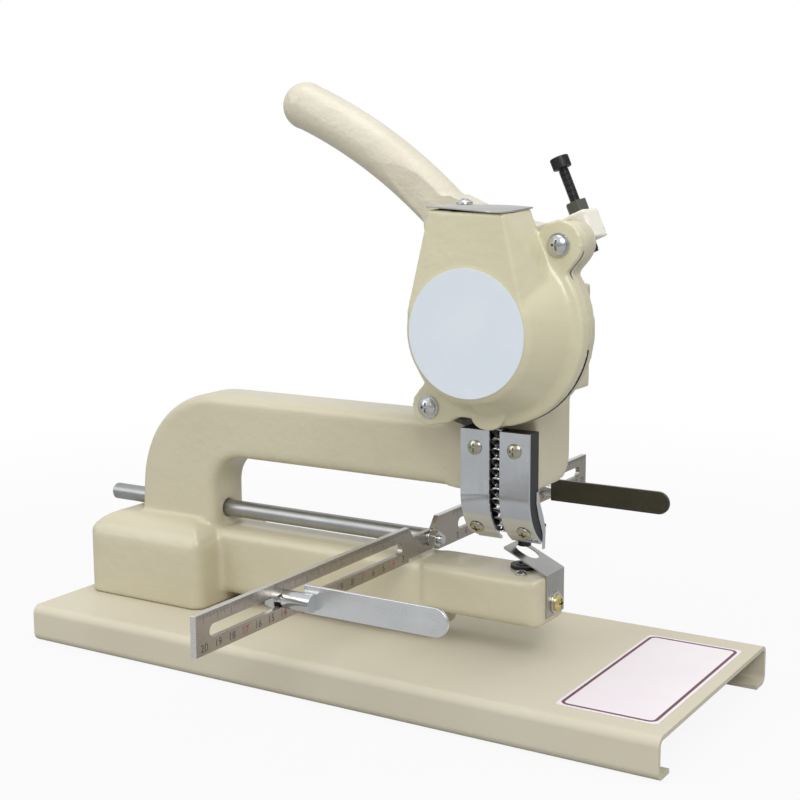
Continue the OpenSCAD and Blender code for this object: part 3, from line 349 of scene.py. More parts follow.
def steel(name, colour, roughness, spots, grain=500, stretch=(1, 1, 1), scratch=0.00004, metal=1.0, edges=(),
          look=steelLook):
    # metal with brushing along one direction, faint stains and fine pits, and listed edges painted lighter as a
    # painted highlight
    paint = Paint(bpy.data.materials.new(name))
    still = paint.place()
    brush = paint.noise(paint.place(stretch), grain, 3, 0.6)
    cloud = paint.noise(still, look["clouds"], 3)
    pits = paint.ramp(paint.noise(still, look["pits"], 4, 0.7), *look["pitRange"])
    stain = paint.ramp(cloud, *look["cloudRange"]) * look["cloudShare"] + brush * look["brushShare"]
    tone = paint.mix(stain, colour, tuple(look["shade"] * part for part in colour))
    tone = paint.mix(pits * spots, tone, look["pitColour"])
    # painted highlight: the listed edges are painted lighter
    for axis, low, high in edges:
        edgeHighlight = paint.ramp(paint.along(still, axis), low, high)
        tone = paint.mix(edgeHighlight * look["edgeHighlightShare"], tone, look["edgeHighlight"])
    rough = roughness + look["uneven"][0] * brush + look["uneven"][1] * cloud
    return paint.finish(colour=tone, roughness=rough, metal=metal, normal=paint.bump(brush, scratch))


chromePlate = steel("chrome_plate", (0.68, 0.70, 0.74), roughness=0.07, spots=0.05, stretch=(1, 1, 0.08),
                    scratch=0.00001)
# the ruler's top edge and far end carry a painted highlight
rulerSteel = steel("ruler_steel", (0.43, 0.395, 0.35), roughness=0.15, spots=0.35, grain=600, stretch=(1, 0.05, 1),
                   scratch=0.00002, edges=(("Z", 0.0882, 0.0884), ("Y", -0.2055, -0.2058)))
stopSteel = steel("side_stop_steel", (0.84, 0.855, 0.87), roughness=0.14, spots=0.15, grain=600,
                  stretch=(0.05, 1, 1), scratch=0.00002)
rodSteel = steel("ground_rod_steel", (0.42, 0.425, 0.42), roughness=0.26, spots=0.05, stretch=(0.04, 1, 1),
                 scratch=0.000012)
zincPlate = steel("zinc_plate", (0.66, 0.67, 0.67), roughness=0.12, spots=0.25)
yellowZinc = steel("yellow_zinc", (0.70, 0.60, 0.28), roughness=0.22, spots=0.2)
springSteel = steel("spring_strip_steel", (0.50, 0.495, 0.48), roughness=0.17, spots=0.2, stretch=(0.1, 1, 0.1),
                    scratch=0.00002)
eyeletMetal = steel("eyelet_metal", (0.62, 0.61, 0.60), roughness=0.18, spots=0.4, scratch=0.00003)
blackOxide = steel("black_oxide", (0.020, 0.020, 0.022), roughness=0.30, spots=0.1, metal=0.3)
screwSteel = steel("small_screw_steel", (0.50, 0.48, 0.38), roughness=0.12, spots=0.25)
darkOxide = steel("dark_nut_oxide", (0.12, 0.12, 0.105), roughness=0.34, spots=0.2, metal=0.7)
lidSteel = steel("lid_sheet_steel", (0.66, 0.65, 0.62), roughness=0.20, spots=0.2, grain=400, stretch=(0.1, 1, 1),
                 scratch=0.00002)
# painted shade: the rear stop is the side stops' steel painted dark, for the dark surroundings that it reflects
rearStopShadedSteel = steel("rear_stop_shaded_steel", (0.13, 0.128, 0.105), roughness=0.20, spots=0.25, grain=600,
                  stretch=(0.05, 1, 1), scratch=0.00002)

inkLook = {"grain": 900, "worn": 0.5, "fade": 0.2, "roughness": 0.5, "uneven": 0.2}


def inkOf(name, colour, look=inkLook):
    # print that has worn a little thin
    paint = Paint(bpy.data.materials.new(name))
    worn = paint.noise(paint.place(), look["grain"], 3)
    thin = tuple(look["worn"] * part + look["fade"] for part in colour)
    return paint.finish(colour=paint.mix(worn * look["worn"], colour, thin),
                        roughness=look["roughness"] + look["uneven"] * worn)


blackInk = inkOf("black_ink", (0.02, 0.02, 0.022))
redInk = inkOf("red_ink", (0.33, 0.03, 0.03))
maroonInk = inkOf("maroon_ink", (0.11, 0.008, 0.03))

plateLook = {"clouds": 28, "cloudRange": (0.3, 0.7), "grain": 800, "uneven": 0.1, "depth": 0.00001,
             "coatRough": 0.1}


def plateOf(name, colour, cloudy, roughness, coat=0.3, look=plateLook):
    # a smooth printed plate or a fibre, faintly cloudy
    paint = Paint(bpy.data.materials.new(name))
    at = paint.place()
    cloud = paint.noise(at, look["clouds"], 3)
    fine = paint.noise(at, look["grain"])
    tone = paint.mix(paint.ramp(cloud, *look["cloudRange"]), colour, cloudy)
    return paint.finish(colour=tone, roughness=roughness + look["uneven"] * fine,
                        normal=paint.bump(fine, look["depth"]), coat=coat, coatRough=look["coatRough"])


discPlate = plateOf("pale_blue_plate", (0.690, 0.735, 0.785), (0.645, 0.700, 0.765), roughness=0.30)
labelPlate = plateOf("white_label", (0.80, 0.74, 0.76), (0.77, 0.70, 0.73), roughness=0.40, coat=0.05)
bristleFibre = plateOf("bristle_fibre", (0.55, 0.45, 0.27), (0.42, 0.33, 0.18), roughness=0.6)
print("stage: materials made")


# how a node's mesh is cleaned, and how its edges are rounded, softened and shaded
skinLook = {"join": 0.002, "flat": 0.6, "segments": 2, "bevelAngle": 32, "sharpAngle": 35, "weight": 60,
            "soften": 0.5}


def merged(name):
    # an object that holds a merged copy of a CAD node's mesh
    mesh = nodes[name].data.copy()
    mesh.materials.clear()
    work = bmesh.new()
    work.from_mesh(mesh)
    bmesh.ops.remove_doubles(work, verts=work.verts, dist=skinLook["join"] * mm)
    bmesh.ops.dissolve_limit(work, angle_limit=math.radians(skinLook["flat"]), verts=work.verts,
                             edges=work.edges, delimit={"NORMAL"})
    work.to_mesh(mesh)
    work.free()
    return added(name + "_skin", mesh)


def added(name, data):
    made = bpy.data.objects.new(name, data)
    bpy.context.scene.collection.objects.link(made)
    return made


def plainMesh(made):
    bpy.context.view_layer.update()
    graph = bpy.context.evaluated_depsgraph_get()
    return bpy.data.meshes.new_from_object(made.evaluated_get(graph))


def settled(made):
    # turns an object with modifiers into a plain mesh
    mesh = plainMesh(made)
    made.modifiers.clear()
    made.data = mesh


def shaded(made):
    made.data.shade_smooth()
    made.data.set_sharp_from_angle(angle=math.radians(skinLook["sharpAngle"]))
    return made


def dressed(made, material, body, slot, *names):
    # gives a finished piece its material, its body and the nodes that it stands for
    made.data.materials.clear()
    made.data.materials.append(material)
    for face in made.data.polygons:
        face.material_index = 0
    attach(made, body)
    if names:
        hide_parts(*names)
    return made


def bodyOf(name):
    return nodes[name]["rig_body"]


def slotOf(name):
    return next(part["material_slot"] for part in frame["record"]["subparts"] if part["node"] == name)


def softened(name, width, material):
    # a copy of a node with its sharp edges rounded by a small bevel
    made = merged(name)
    bevel = made.modifiers.new("edge", "BEVEL")
    bevel.width = width * mm
    bevel.segments = skinLook["segments"]
    bevel.limit_method = "ANGLE"
    bevel.angle_limit = math.radians(skinLook["bevelAngle"])
    bevel.use_clamp_overlap = True
    settled(made)
    shaded(made)
    even = made.modifiers.new("even", "WEIGHTED_NORMAL")
    even.mode = "FACE_AREA"
    even.weight = skinLook["weight"]
    even.keep_sharp = True
    settled(made)
    return dressed(made, material, bodyOf(name), slotOf(name), name)


def recast(name, look, material):
    # a casting: the node remeshed so that its corners melt into fillets
    made = merged(name)
    remesh = made.modifiers.new("remesh", "REMESH")
    remesh.mode = "VOXEL"
    remesh.voxel_size = look["voxel"] * mm
    remesh.adaptivity = 0.0
    soft = made.modifiers.new("soft", "SMOOTH")
    soft.factor = skinLook["soften"]
    soft.iterations = look["melt"]
    settled(made)
    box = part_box(name)
    for vertex in made.data.vertices:
        for axis in range(3):
            vertex.co[axis] = within(vertex.co[axis], box[0][axis], box[1][axis])
    made.data.shade_smooth()
    print("piece:", name, len(made.data.polygons), "faces")
    return dressed(made, material, bodyOf(name), slotOf(name), name)


castLook = {"frame_casting": {"voxel": 1.5, "melt": 6}, "hopper_bowl": {"voxel": 1.0, "melt": 4},
            "handle_lever": {"voxel": 1.0, "melt": 4}}

casting = recast("frame_casting", castLook["frame_casting"], castPaint)
recast("hopper_bowl", castLook["hopper_bowl"], bowlPaint)
lever = recast("handle_lever", castLook["handle_lever"], handlePaint)

draftLook = {"back": (-0.175, -0.166), "inner": -0.145, "run": 0.012, "low": 0.062, "high": 0.115,
             "shift": 0.0026}
crownLook = {"ends": (-0.112, 0.036), "run": 0.010, "near": -0.014, "far": -0.004, "low": 0.060, "high": 0.066,
             "above": 0.0685, "lift": 0.0016}
flatLook = {"centre": (-0.1644, 0.0378), "flat": 50.9, "round": 55.2, "half": (0.0102, 0.0132), "middle": 0.005}


def leanBack(made, look):
    # the column's back leans out a little towards its foot
    back, edge = look["back"]
    for vertex in made.data.vertices:
        across, _, high = vertex.co
        if across < look["inner"] and look["low"] < high < look["high"]:
            near = within((across - back) / (edge - back)) * within((look["inner"] - across) / look["run"])
            part = (look["high"] - high) / (look["high"] - look["low"])
            vertex.co.x -= look["shift"] * near * eased(part)


def crownBeam(made, look):
    # the lower beam's top rises a little towards its far edge
    first, last = look["ends"]
    for vertex in made.data.vertices:
        across, deep, high = vertex.co
        if first < across < last and look["low"] < high < look["above"]:
            part = min((across - first) / look["run"], (last - across) / look["run"], 1)
            part *= within((deep - look["near"]) / (look["far"] - look["near"]))
            part *= min((high - look["low"]) / (look["high"] - look["low"]), 1)
            vertex.co.z += look["lift"] * part


def flattenRoot(made, look):
    # where the round bar meets the flat root its sides slope in
    low, high = look["half"]
    for vertex in made.data.vertices:
        turn = math.degrees(math.atan2(vertex.co.z - look["centre"][1], vertex.co.x - look["centre"][0]))
        if turn < look["round"]:
            limit = low + (high - low) * max(0, (turn - look["flat"]) / (look["round"] - look["flat"]))
            vertex.co.y = within(vertex.co.y, look["middle"] - limit, look["middle"] + limit)


leanBack(casting, draftLook)
crownBeam(casting, crownLook)
flattenRoot(lever, flatLook)
print("stage: castings made")

# the width of each piece's rounded edges, and its finish
edgeLook = {
    "base_plate": (0.6, sheetPaint), "base_label": (0.1, labelPlate), "hopper_disc": (0.12, discPlate),
    "guide_rod": (0.4, rodSteel), "ruler_bar": (0.25, rulerSteel), "ruler_stud": (0.15, zincPlate),
    "ruler_nut": (0.3, zincPlate), "ruler_washer": (0.15, zincPlate),
    "front_stop": (0.3, stopSteel), "rear_stop": (0.3, rearStopShadedSteel),
    "front_stop_stud": (0.3, zincPlate), "rear_stop_stud": (0.3, zincPlate),
    "front_stop_nut": (0.3, zincPlate), "rear_stop_nut": (0.3, zincPlate),
    "front_stop_washer": (0.15, zincPlate), "rear_stop_washer": (0.15, zincPlate),
    "hopper_screws": (0.12, zincPlate), "hopper_washers": (0.15, zincPlate), "hopper_lid": (0.15, lidSteel),
    "lid_screw": (0.1, zincPlate), "chute_track": (0.25, blackOxide), "chute_plate_left": (0.25, chromePlate),
    "chute_plate_right": (0.25, chromePlate), "chute_screws": (0.1, screwSteel),
    "chute_catch_spring": (0.05, chromePlate), "upper_die": (0.2, blackOxide),
    "lower_die": (0.2, blackOxide), "lower_die_screw": (0.1, zincPlate), "lifter_plate": (0.12, springSteel),
    "lifter_screw": (0.12, yellowZinc), "lifter_washer": (0.15, zincPlate), "stop_screw": (0.2, blackOxide),
    "stop_nut": (0.35, darkOxide), "rod_clamp_screw": (0.2, blackOxide), "ram": (0.3, rodSteel),
    "ram_roller": (0.2, rodSteel), "feed_brush": (0.3, blackOxide), "lever_shaft": (0.3, rodSteel),
    "shaft_washer": (0.15, zincPlate), "shaft_circlip": (0.1, darkOxide), "casting_bolts": (0.2, zincPlate),
    "casting_washers": (0.15, zincPlate), "ram_key_screw": (0.15, blackOxide)}

for name, (width, material) in edgeLook.items():
    softened(name, width, material)

# the side stops' washers stand a hair off the ruler that they slide along
fenceLook = {"washers": ("front_stop_washer", "rear_stop_washer"), "clear": 0.03}
for name in fenceLook["washers"]:
    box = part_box(name)
    for vertex in bpy.data.objects[name + "_skin"].data.vertices:
        vertex.co.x = min(vertex.co.x, box[1][0] - fenceLook["clear"] * mm)

crossShadeLook = {"screws": ("hopper_screws", "chute_screws", "lid_screw", "lifter_screw"), "rays": 12, "needed": 6,
             "reach": 2.2, "spread": 1.2, "start": 0.02}


def sunken(made, material, look):
    # paints black, as painted shade, the faces that look at their neighbours, which are the cross of a screw's
    # head
    tree = BVHTree.FromPolygons([v.co for v in made.data.vertices], [p.vertices for p in made.data.polygons])
    made.data.materials.append(material)
    for face in made.data.polygons:
        side = face.normal.orthogonal().normalized()
        start = face.center + face.normal * look["start"] * mm
        met = 0
        for step in range(look["rays"]):
            turned = Matrix.Rotation(math.tau * step / look["rays"], 3, face.normal) @ side
            aim = (face.normal + turned * look["spread"]).normalized()
            met += tree.ray_cast(start, aim, look["reach"] * mm)[0] is not None
        if met >= look["needed"]:
            face.material_index = 1


# painted shade in the cross of each screw's head
for name in crossShadeLook["screws"]:
    sunken(bpy.data.objects[name + "_skin"], blackOxide, crossShadeLook)

# the thin lid has one corner pressed down towards the neck's rim
bendLook = {"from": (71, -32.5), "along": (0.79, -0.61), "start": 14, "end": 49, "step": 5, "drop": 2.0}


def pressedDown(made, look):
    work = bmesh.new()
    work.from_mesh(made.data)
    along = Vector((*look["along"], 0))
    corner = Vector((*look["from"], 0)) * mm
    for step in range(look["start"], look["end"], look["step"]):
        bmesh.ops.bisect_plane(work, geom=work.verts[:] + work.edges[:] + work.faces[:],
                               plane_co=corner + along * step * mm, plane_no=along)
    for vertex in work.verts:
        away = (vertex.co - corner).dot(along) / mm
        vertex.co.z -= look["drop"] * mm * eased(within((away - look["start"]) / (look["end"] - look["start"])))
    work.to_mesh(made.data)
    work.free()


pressedDown(bpy.data.objects["hopper_lid_skin"], bendLook)

# painted shade: a black wire in the lower right of the joint where the hopper's rim meets its seat, standing in
# for the shadow in the gap
seamShadeLook = {"radius": 50.35, "wire": 0.42, "from": -69, "to": -10, "place": (88, -26, 202)}
grow = Growth("rim_seam")
arc = grow.add("GeometryNodeCurveArc", {"mode": "RADIUS"}, {
    "Resolution": 40, "Radius": seamShadeLook["radius"] * mm, "Start Angle": math.radians(seamShadeLook["from"]),
    "Sweep Angle": math.radians(seamShadeLook["to"] - seamShadeLook["from"])})
made = grow.grown(grow.swept(arc, grow.ring(grow.named("Wire", seamShadeLook["wire"] * mm), 8)), blackOxide,
                  Matrix.Translation(Vector(seamShadeLook["place"]) * mm) @ Matrix.Rotation(math.pi / 2, 4, "X"))
dressed(made, blackOxide, bodyOf("hopper_bowl"), "black_oxide")

for name, material in {"roller_pin": rodSteel, "lever_pin": rodSteel, "upper_die_screw": blackOxide}.items():
    nodes[name].data.materials.clear()
    nodes[name].data.materials.append(material)
print("stage: plain pieces dressed")


def placed(start, along):
    # the turn and shift that carry +Z onto a direction from a point, both in millimetres
    turn = Vector(along).to_track_quat("Z", "Y").to_matrix().to_4x4()
    return Matrix.Translation(Vector(start) * mm) @ turn


def thread(name, start, along, look, material, rider, slot):
    # a helical ridge round a rod
    grow = Growth(name)
    length = grow.named("Length", look["length"] * mm)
    pitch = grow.named("Pitch", look["pitch"] * mm)
    radius = grow.named("Radius", look["radius"] * mm)
    ridgeShare = 0.36  # the ridge's radius in pitches
    path = grow.helix(length, radius, grow.math("DIVIDE", length, pitch), 20)
    ridge = grow.swept(path, grow.ring(grow.math("MULTIPLY", pitch, ridgeShare), 5))
    made = grow.grown(ridge, material, placed(start, along))
    return dressed(made, material, bodyOf(rider), slot)


stopLook = {"length": 44, "pitch": 0.8, "radius": 2.45, "core": 2.35, "shank": 3.0, "inside": (0.1, 3.1),
            "threaded": 46.2, "head": 46.4, "tilt": 23.64, "tip": (126, 5, 239.5)}
stopTip = Vector(stopLook["tip"])
stopTilt = math.radians(stopLook["tilt"])
stopAlong = Vector((-math.sin(stopTilt), 0, math.cos(stopTilt)))


def thinned(made, look):
    # the shank inside the thread, cut back to the thread's core
    least, most = (part * mm for part in look["inside"])
    for vertex in made.data.vertices:
        height = (vertex.co - stopTip * mm).dot(stopAlong)
        foot = stopTip * mm + stopAlong * height
        away = vertex.co - foot
        if least < away.length < most and height < look["threaded"] * mm:
            vertex.co = foot + away * (look["core"] / look["shank"])


thinned(bpy.data.objects["stop_screw_skin"], stopLook)
thread("stop_screw_thread", stopTip + stopAlong, stopAlong, stopLook, blackOxide, "stop_screw", "black_oxide")

studLook = {"length": 8.5, "pitch": 1.0, "radius": 2.9, "x": 20.3, "y": 138, "z": 78.75}
for side, name in ((-1, "front_stop_stud"), (1, "rear_stop_stud")):
    thread(name + "_thread", (studLook["x"], side * studLook["y"], studLook["z"]), (1, 0, 0), studLook, zincPlate,
           name, "zinc_fixings")

endLook = {"length": 2.6, "pitch": 0.8, "radius": 2.4, "start": (37.2, 0, 77.5)}
thread("ruler_stud_thread", endLook["start"], (1, 0, 0), endLook, zincPlate, "ruler_stud", "zinc_fixings")


def knurl(name, start, along, look, material, rider, slot):
    # fine ribs round a head
    grow = Growth(name)
    count = grow.named("Count", look["count"], "NodeSocketInt")
    radius = grow.named("Radius", look["radius"] * mm)
    circle = grow.add("GeometryNodeMeshCircle", {}, {"Vertices": count, "Radius": radius})
    index = grow.add("GeometryNodeInputIndex")
    turn = grow.add("ShaderNodeCombineXYZ", {}, {"Z": grow.math("MULTIPLY", index, math.tau / look["count"])})
    rib = grow.add("GeometryNodeMeshCube", {}, {"Size": (look["rib"] * mm, look["rib"] * mm, look["height"] * mm)})
    ribs = grow.moved(grow.copies(circle, rib, turn), by=(0, 0, look["height"] * mm / 2))
    made = grow.grown(ribs, material, placed(start, along))
    return dressed(made, material, bodyOf(rider), slot)


headLook = {"count": 44, "radius": 4.75, "rib": 0.35, "height": 5.2}
knurl("stop_screw_knurl", stopTip + stopLook["head"] * stopAlong, stopAlong, headLook, blackOxide, "stop_screw",
      "black_oxide")

# the return spring, a round wire wound about the ram
coilLook = {"turns": 5.0, "radius": 11.35, "wire": 0.75, "low": 148.85, "high": 171.15, "axis": (88, 4.5)}
grow = Growth("ram_spring_wire")
wire = grow.named("Wire", coilLook["wire"] * mm)
height = grow.named("Height", (coilLook["high"] - coilLook["low"]) * mm)
path = grow.helix(height, coilLook["radius"] * mm, coilLook["turns"], 40)
springWire = grow.grown(grow.swept(path, grow.ring(wire, 10)), rodSteel,
                        Matrix.Translation(Vector((*coilLook["axis"], coilLook["low"])) * mm))
dressed(springWire, rodSteel, "frame", slotOf("ram_spring"), "ram_spring")
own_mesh(springWire)

# bristles of the stirrer: three rows of loose fibres
bristleLook = {"count": 70, "length": 7.6, "thick": 0.16, "inner": 23.2, "half": (3.0, 1.3), "rows": 3,
               "middle": (88, -37, 202)}
grow = Growth("bristle_rows")
count = grow.named("Count", bristleLook["count"], "NodeSocketInt")
wide, deep = (part * mm for part in bristleLook["half"])
spread = grow.add("FunctionNodeRandomValue", {"data_type": "FLOAT_VECTOR"},
                  {"Min": (0, -wide, -deep), "Max": (0, wide, deep), "Seed": 7})
roots = grow.add("GeometryNodePoints", {}, {"Count": count, "Position": spread})
fibre = grow.add("GeometryNodeMeshCylinder", {}, {"Vertices": 5, "Radius": bristleLook["thick"] * mm,
                                                  "Depth": bristleLook["length"] * mm})
laid = grow.moved(fibre, by=(bristleLook["length"] * mm / 2, 0, 0), turn=(0, math.pi / 2, 0))
row = grow.moved(grow.copies(roots, laid), by=(bristleLook["inner"] * mm, 0, 0))
arms = grow.add("GeometryNodeMeshLine", {}, {"Count": bristleLook["rows"], "Offset": (0, 0, 0)})
turn = grow.math("MULTIPLY", grow.add("GeometryNodeInputIndex"), math.tau / bristleLook["rows"])
armTurn = grow.add("ShaderNodeCombineXYZ", {}, {"Z": grow.math("ADD", turn, math.pi / 6)})
made = grow.grown(grow.copies(arms, row, armTurn), bristleFibre, placed(bristleLook["middle"], (0, -1, 0)))
dressed(made, bristleFibre, bodyOf("brush_bristles"), slotOf("brush_bristles"), "brush_bristles")

# eyelets that lean on one another along the chute
eyeletLook = {"count": 12, "flange": 3.1, "roll": 0.42, "barrel": 2.25, "wall": 0.35, "long": 2.4, "lean": 38,
              "neck": 2.65, "band": (1.0, 0.3), "sink": 0.4, "wobble": (0.06, 0.09, 0.09),
              "middle": 88, "lift": 3.2, "front": -31, "bendZ": 115, "top": 147, "bendR": 32, "lastTurn": 51}


def chuteLine(look):
    # the line of the eyelets' middles, in metres, from the top of the chute to its end
    depth = look["front"] + look["lift"]
    points = [(look["middle"], depth, look["top"] - down) for down in range(0, look["top"] - look["bendZ"], 2)]
    radius = look["bendR"] - look["lift"]
    centre = look["front"] + look["bendR"]
    for degrees in range(0, look["lastTurn"] + 1, 3):
        turn = math.radians(degrees)
        points.append((look["middle"], centre - radius * math.cos(turn), look["bendZ"] - radius * math.sin(turn)))
    curve = bpy.data.curves.new("chute_line", "CURVE")
    curve.dimensions = "3D"
    line = curve.splines.new("POLY")
    line.points.add(len(points) - 1)
    for point, place in zip(line.points, points):
        point.co = (*(part * mm for part in place), 1)
    return added("chute_line", curve)


guide = chuteLine(eyeletLook)
grow = Growth("eyelet_row")
lean = grow.named("Lean", math.radians(eyeletLook["lean"] + 90))
line = grow.add("GeometryNodeObjectInfo", {"transform_space": "RELATIVE"}, {"Object": guide}, "Geometry")
even = grow.add("GeometryNodeResampleCurve", {}, {"Curve": line, "Count": eyeletLook["count"]})
tangent = grow.add("GeometryNodeInputTangent")
forward = grow.add("ShaderNodeSeparateXYZ", {}, {0: tangent}, "Y")
upward = grow.add("ShaderNodeSeparateXYZ", {}, {0: tangent}, "Z")
slope = grow.math("ARCTAN2", forward, grow.math("MULTIPLY", upward, -1.0))
wobble = grow.add("FunctionNodeRandomValue", {"data_type": "FLOAT_VECTOR"},
                  {"Min": tuple(-part for part in eyeletLook["wobble"]), "Max": eyeletLook["wobble"], "Seed": 3})
facing = grow.add("ShaderNodeCombineXYZ", {}, {"X": grow.math("ADD", slope, lean)})
facing = grow.add("ShaderNodeVectorMath", {"operation": "ADD"}, {0: facing, 1: wobble})
rolled = grow.swept(grow.ring(eyeletLook["flange"] * mm), grow.ring(eyeletLook["roll"] * mm, 8))
neck = grow.swept(grow.ring(eyeletLook["neck"] * mm), grow.box(*(part * mm for part in eyeletLook["band"])))
tube = grow.swept(grow.ring(eyeletLook["barrel"] * mm), grow.box(eyeletLook["wall"] * mm, eyeletLook["long"] * mm))
barrel = grow.moved(tube, by=(0, 0, -eyeletLook["long"] * mm / 2))
eyelet = grow.moved(grow.joined(rolled, neck, barrel), by=(0, 0, -eyeletLook["sink"] * mm))
made = grow.grown(grow.copies(even, eyelet, facing), eyeletMetal)
bpy.data.objects.remove(guide)
dressed(made, eyeletMetal, bodyOf("eyelets"), slotOf("eyelets"), "eyelets")
print("stage: repeated details grown")

# marks on the ruler: a line for each millimetre and a number for each centimetre
markLook = {"face": 32.0, "proud": 0.03, "top": 88.2, "first": 25, "last": 204, "wide": 0.16,
            "long": (2.0, 3.2, 4.8), "digits": 3.9, "fontScale": 1.35, "base": 70.6, "numbers": range(3, 21),
            "red": (4, 7, 10, 14, 17)}


def rulerLines(side, look):
    grow = Growth("ruler_lines_front" if side < 0 else "ruler_lines_rear")
    count = grow.named("Count", look["last"] - look["first"] + 1, "NodeSocketInt")
    wide = grow.named("Width", look["wide"] * mm)
    start = Vector((look["face"], side * look["first"], look["top"])) * mm
    spots = grow.add("GeometryNodeMeshLine", {}, {"Count": count, "Offset": (0, side * mm, 0),
                                                  "Start Location": start})
    at = grow.math("ADD", grow.add("GeometryNodeInputIndex"), float(look["first"]))
    fives = grow.math("LESS_THAN", grow.math("MODULO", at, 5.0), 0.5)
    tens = grow.math("LESS_THAN", grow.math("MODULO", at, 10.0), 0.5)
    short, middle, long = look["long"]
    reach = grow.math("ADD", grow.math("MULTIPLY", fives, (middle - short) * mm), short * mm)
    reach = grow.math("ADD", reach, grow.math("MULTIPLY", tens, (long - middle) * mm))
    size = grow.add("ShaderNodeCombineXYZ", {}, {"X": 2 * look["proud"] * mm, "Y": wide, "Z": reach})
    mark = grow.moved(grow.add("GeometryNodeMeshCube", {}, {"Size": (1, 1, 1)}), by=(0, 0, -0.5))
    made = grow.grown(grow.copies(spots, mark, scale=size), blackInk)
    return dressed(made, blackInk, bodyOf("ruler_bar"), "black_oxide")


def rulerNumbers(name, numbers, material, look):
    # the numbers as flat meshes on the die-end face, gathered in one piece
    work = bmesh.new()
    upright = Matrix(((0, 0, 1), (1, 0, 0), (0, 1, 0))).to_4x4()
    for side in (-1, 1):
        for number in numbers:
            letters = bpy.data.curves.new("number", "FONT")
            letters.body = str(number)
            letters.size = look["digits"] * look["fontScale"] * mm
            letters.align_x = "CENTER"
            letters.extrude = look["proud"] * mm
            letters.resolution_u = 3
            holder = added("number", letters)
            mesh = plainMesh(holder)
            place = Vector((look["face"], side * number * 10, look["base"])) * mm
            mesh.transform(Matrix.Translation(place) @ upright)
            work.from_mesh(mesh)
            bpy.data.objects.remove(holder)
            bpy.data.meshes.remove(mesh)
    mesh = bpy.data.meshes.new(name)
    work.to_mesh(mesh)
    work.free()
    return dressed(added(name, mesh), material, bodyOf("ruler_bar"), "black_oxide")


for side in (-1, 1):
    rulerLines(side, markLook)
blackNumbers = [number for number in markLook["numbers"] if number not in markLook["red"]]
rulerNumbers("ruler_numbers_black", blackNumbers, blackInk, markLook)
rulerNumbers("ruler_numbers_red", markLook["red"], redInk, markLook)

# the printed frame round the blank label
frameLook = {"size": (49.0, 118.0), "corner": 3.5, "wide": 1.75, "thick": 0.04, "place": (166, -1.5, 22.3)}
grow = Growth("label_frame")
wide = grow.named("Width", frameLook["wide"] * mm)
border = grow.box(*(part * mm for part in frameLook["size"]))
rounded = grow.add("GeometryNodeFilletCurve", {"mode": "POLY"}, {"Curve": border, "Count": 6, "Limit Radius": True,
                                                                 "Radius": frameLook["corner"] * mm})
strip = grow.box(wide, 2 * frameLook["thick"] * mm)
made = grow.grown(grow.swept(rounded, strip, False), maroonInk,
                  Matrix.Translation(Vector(frameLook["place"]) * mm))
dressed(made, maroonInk, bodyOf("base_label"), "label_plate")
print("stage: marks printed")

viewLook = {"focal": 67.07, "sensor": 36, "yaw": 31.643, "pitch": 9.567, "roll": -0.275, "near": 0.01,
            "place": (441.6, -697.2, 291.9)}


def addCamera(look):
    yaw, pitch, roll = (math.radians(look[key]) for key in ("yaw", "pitch", "roll"))
    ahead = Vector((-math.sin(yaw) * math.cos(pitch), math.cos(yaw) * math.cos(pitch), -math.sin(pitch)))
    level = Vector((math.cos(yaw), math.sin(yaw), 0))
    upward = level.cross(ahead)
    right = level * math.cos(roll) + upward * math.sin(roll)
    top = upward * math.cos(roll) - level * math.sin(roll)
    lens = bpy.data.cameras.new("camera")
    lens.lens = look["focal"]
    lens.sensor_width = look["sensor"]
    lens.clip_start = look["near"]
    camera = added("camera", lens)
    turned = Matrix((right, top, -ahead)).transposed().to_4x4()
    camera.matrix_world = Matrix.Translation(Vector(look["place"]) * mm) @ turned
    bpy.context.scene.camera = camera


addCamera(viewLook)


studioLook = {"sky": ((0.0, 0.14), (0.46, 0.27), (0.56, 0.46), (0.75, 0.80), (1.0, 1.0)),
              "tint": (0.96, 0.98, 1.0), "behind": (-0.52, 0.85, 0.05), "backdrop": 0.75,
              "backdropSpan": (0.25, 0.85), "aim": (0, 0, 0.12),
              "lamps": {"key": ((1.3, -1.45, 1.65), 1.1, 24.0), "fill": ((-1.3, -1.5, 1.1), 1.3, 8.5),
                        "top": ((0.0, -0.05, 1.9), 1.0, 6.6)}}
floorLook = {"colour": (0.42, 0.42, 0.41), "size": 8.0, "grain": 3, "mottle": 0.2, "mottled": 0.97,
             "roughness": 0.85, "glow": (0.91, 1.0), "reach": (0.30, 0.85)}


def addLamp(name, place, size, power, target):
    light = bpy.data.lights.new(name, "AREA")
    light.shape = "SQUARE"
    light.size = size
    light.energy = power
    lamp = added(name, light)
    lamp.location = place
    lamp.rotation_euler = (Vector(target) - Vector(place)).to_track_quat("-Z", "Y").to_euler()


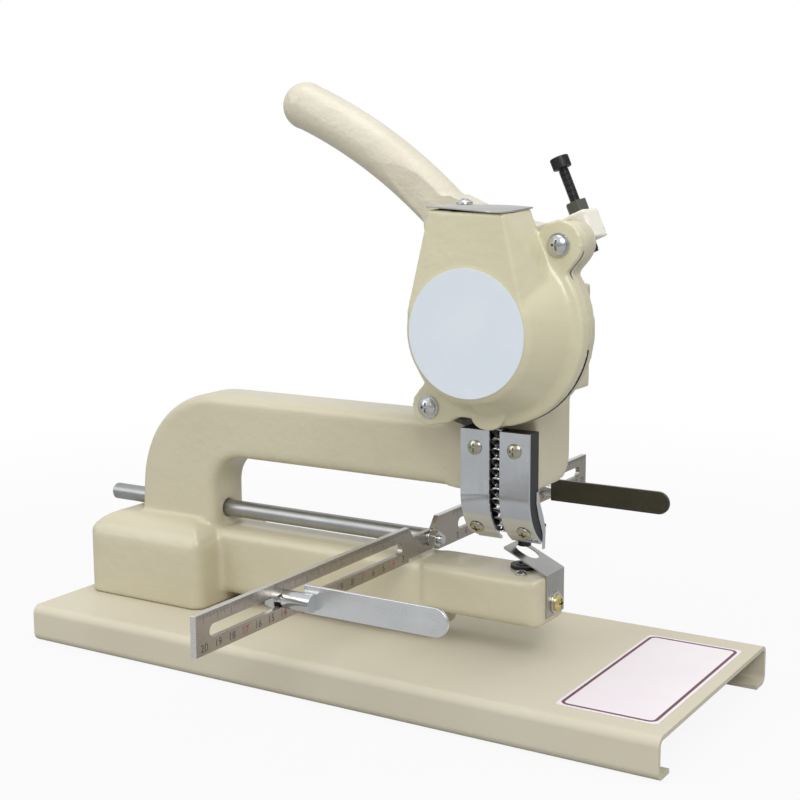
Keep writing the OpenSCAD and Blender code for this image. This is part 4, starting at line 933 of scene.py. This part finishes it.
def addWorld(look):
    # white to the camera, and a soft sky that darkens downwards to everything else
    bpy.context.scene.world = bpy.data.worlds.new("studio")
    paint = Paint(bpy.context.scene.world)
    aim = paint.add("ShaderNodeTexCoord", output="Generated")
    height = paint.ramp(paint.along(aim, "Z"), -1.0, 1.0)
    stops = [(at, tuple(level * part for part in look["tint"])) for at, level in look["sky"]]
    sky = paint.add("ShaderNodeValToRGB", {"stops": stops}, {"Fac": height}, "Color")
    facing = paint.add("ShaderNodeVectorMath", {"operation": "DOT_PRODUCT"}, {0: aim, 1: look["behind"]}, "Value")
    low, high = look["backdropSpan"]
    behind = paint.add("ShaderNodeMapRange", {"interpolation_type": "SMOOTHSTEP"},
                       {"Value": facing, "From Min": low, "From Max": high}, "Result")
    paint.join(paint.shader.inputs["Color"], paint.mix(behind, sky, (look["backdrop"],) * 3))
    soft = Value(paint, paint.shader.outputs[0])
    white = paint.add("ShaderNodeBackground", {}, {"Color": (1, 1, 1)})
    seen = paint.add("ShaderNodeMath", {"operation": "ADD", "use_clamp": True},
                     {0: paint.add("ShaderNodeLightPath", output="Is Camera Ray"),
                      1: paint.add("ShaderNodeLightPath", output="Is Transmission Ray")})
    paint.show(paint.add("ShaderNodeMixShader", {}, {0: seen, 1: soft, 2: white}))


def addFloor(look):
    # keeps the shadow near the machine and fades to pure white further out
    half = look["size"] / 2
    mesh = bpy.data.meshes.new("floor")
    mesh.from_pydata([(-half, -half, 0), (half, -half, 0), (half, half, 0), (-half, half, 0)], [], [(0, 1, 2, 3)])
    floor = added("floor", mesh)
    paint = Paint(bpy.data.materials.new("studio_floor"))
    at = paint.place()
    mottled = tuple(look["mottled"] * part for part in look["colour"])
    tone = paint.mix(paint.noise(at, look["grain"]) * look["mottle"], look["colour"], mottled)
    paint.finish(colour=tone, roughness=look["roughness"])
    away = paint.add("ShaderNodeVectorMath", {"operation": "LENGTH"}, {0: at}, "Value")
    near, far = look["glow"]
    fade = paint.ramp(away, *look["reach"]) * (far - near) + near
    camera = paint.add("ShaderNodeLightPath", output="Is Camera Ray")
    glow = paint.add("ShaderNodeEmission", {}, {"Color": (1, 1, 1), "Strength": 1.0})
    matt = Value(paint, paint.shader.outputs[0])
    paint.show(paint.add("ShaderNodeMixShader", {}, {0: camera * fade, 1: matt, 2: glow}))
    mesh.materials.append(paint.owner)


for name, (place, size, power) in studioLook["lamps"].items():
    addLamp(name, place, size, power, studioLook["aim"])
addWorld(studioLook)
addFloor(floorLook)
bpy.context.scene.view_settings.view_transform = "Standard"
print("stage: studio ready")

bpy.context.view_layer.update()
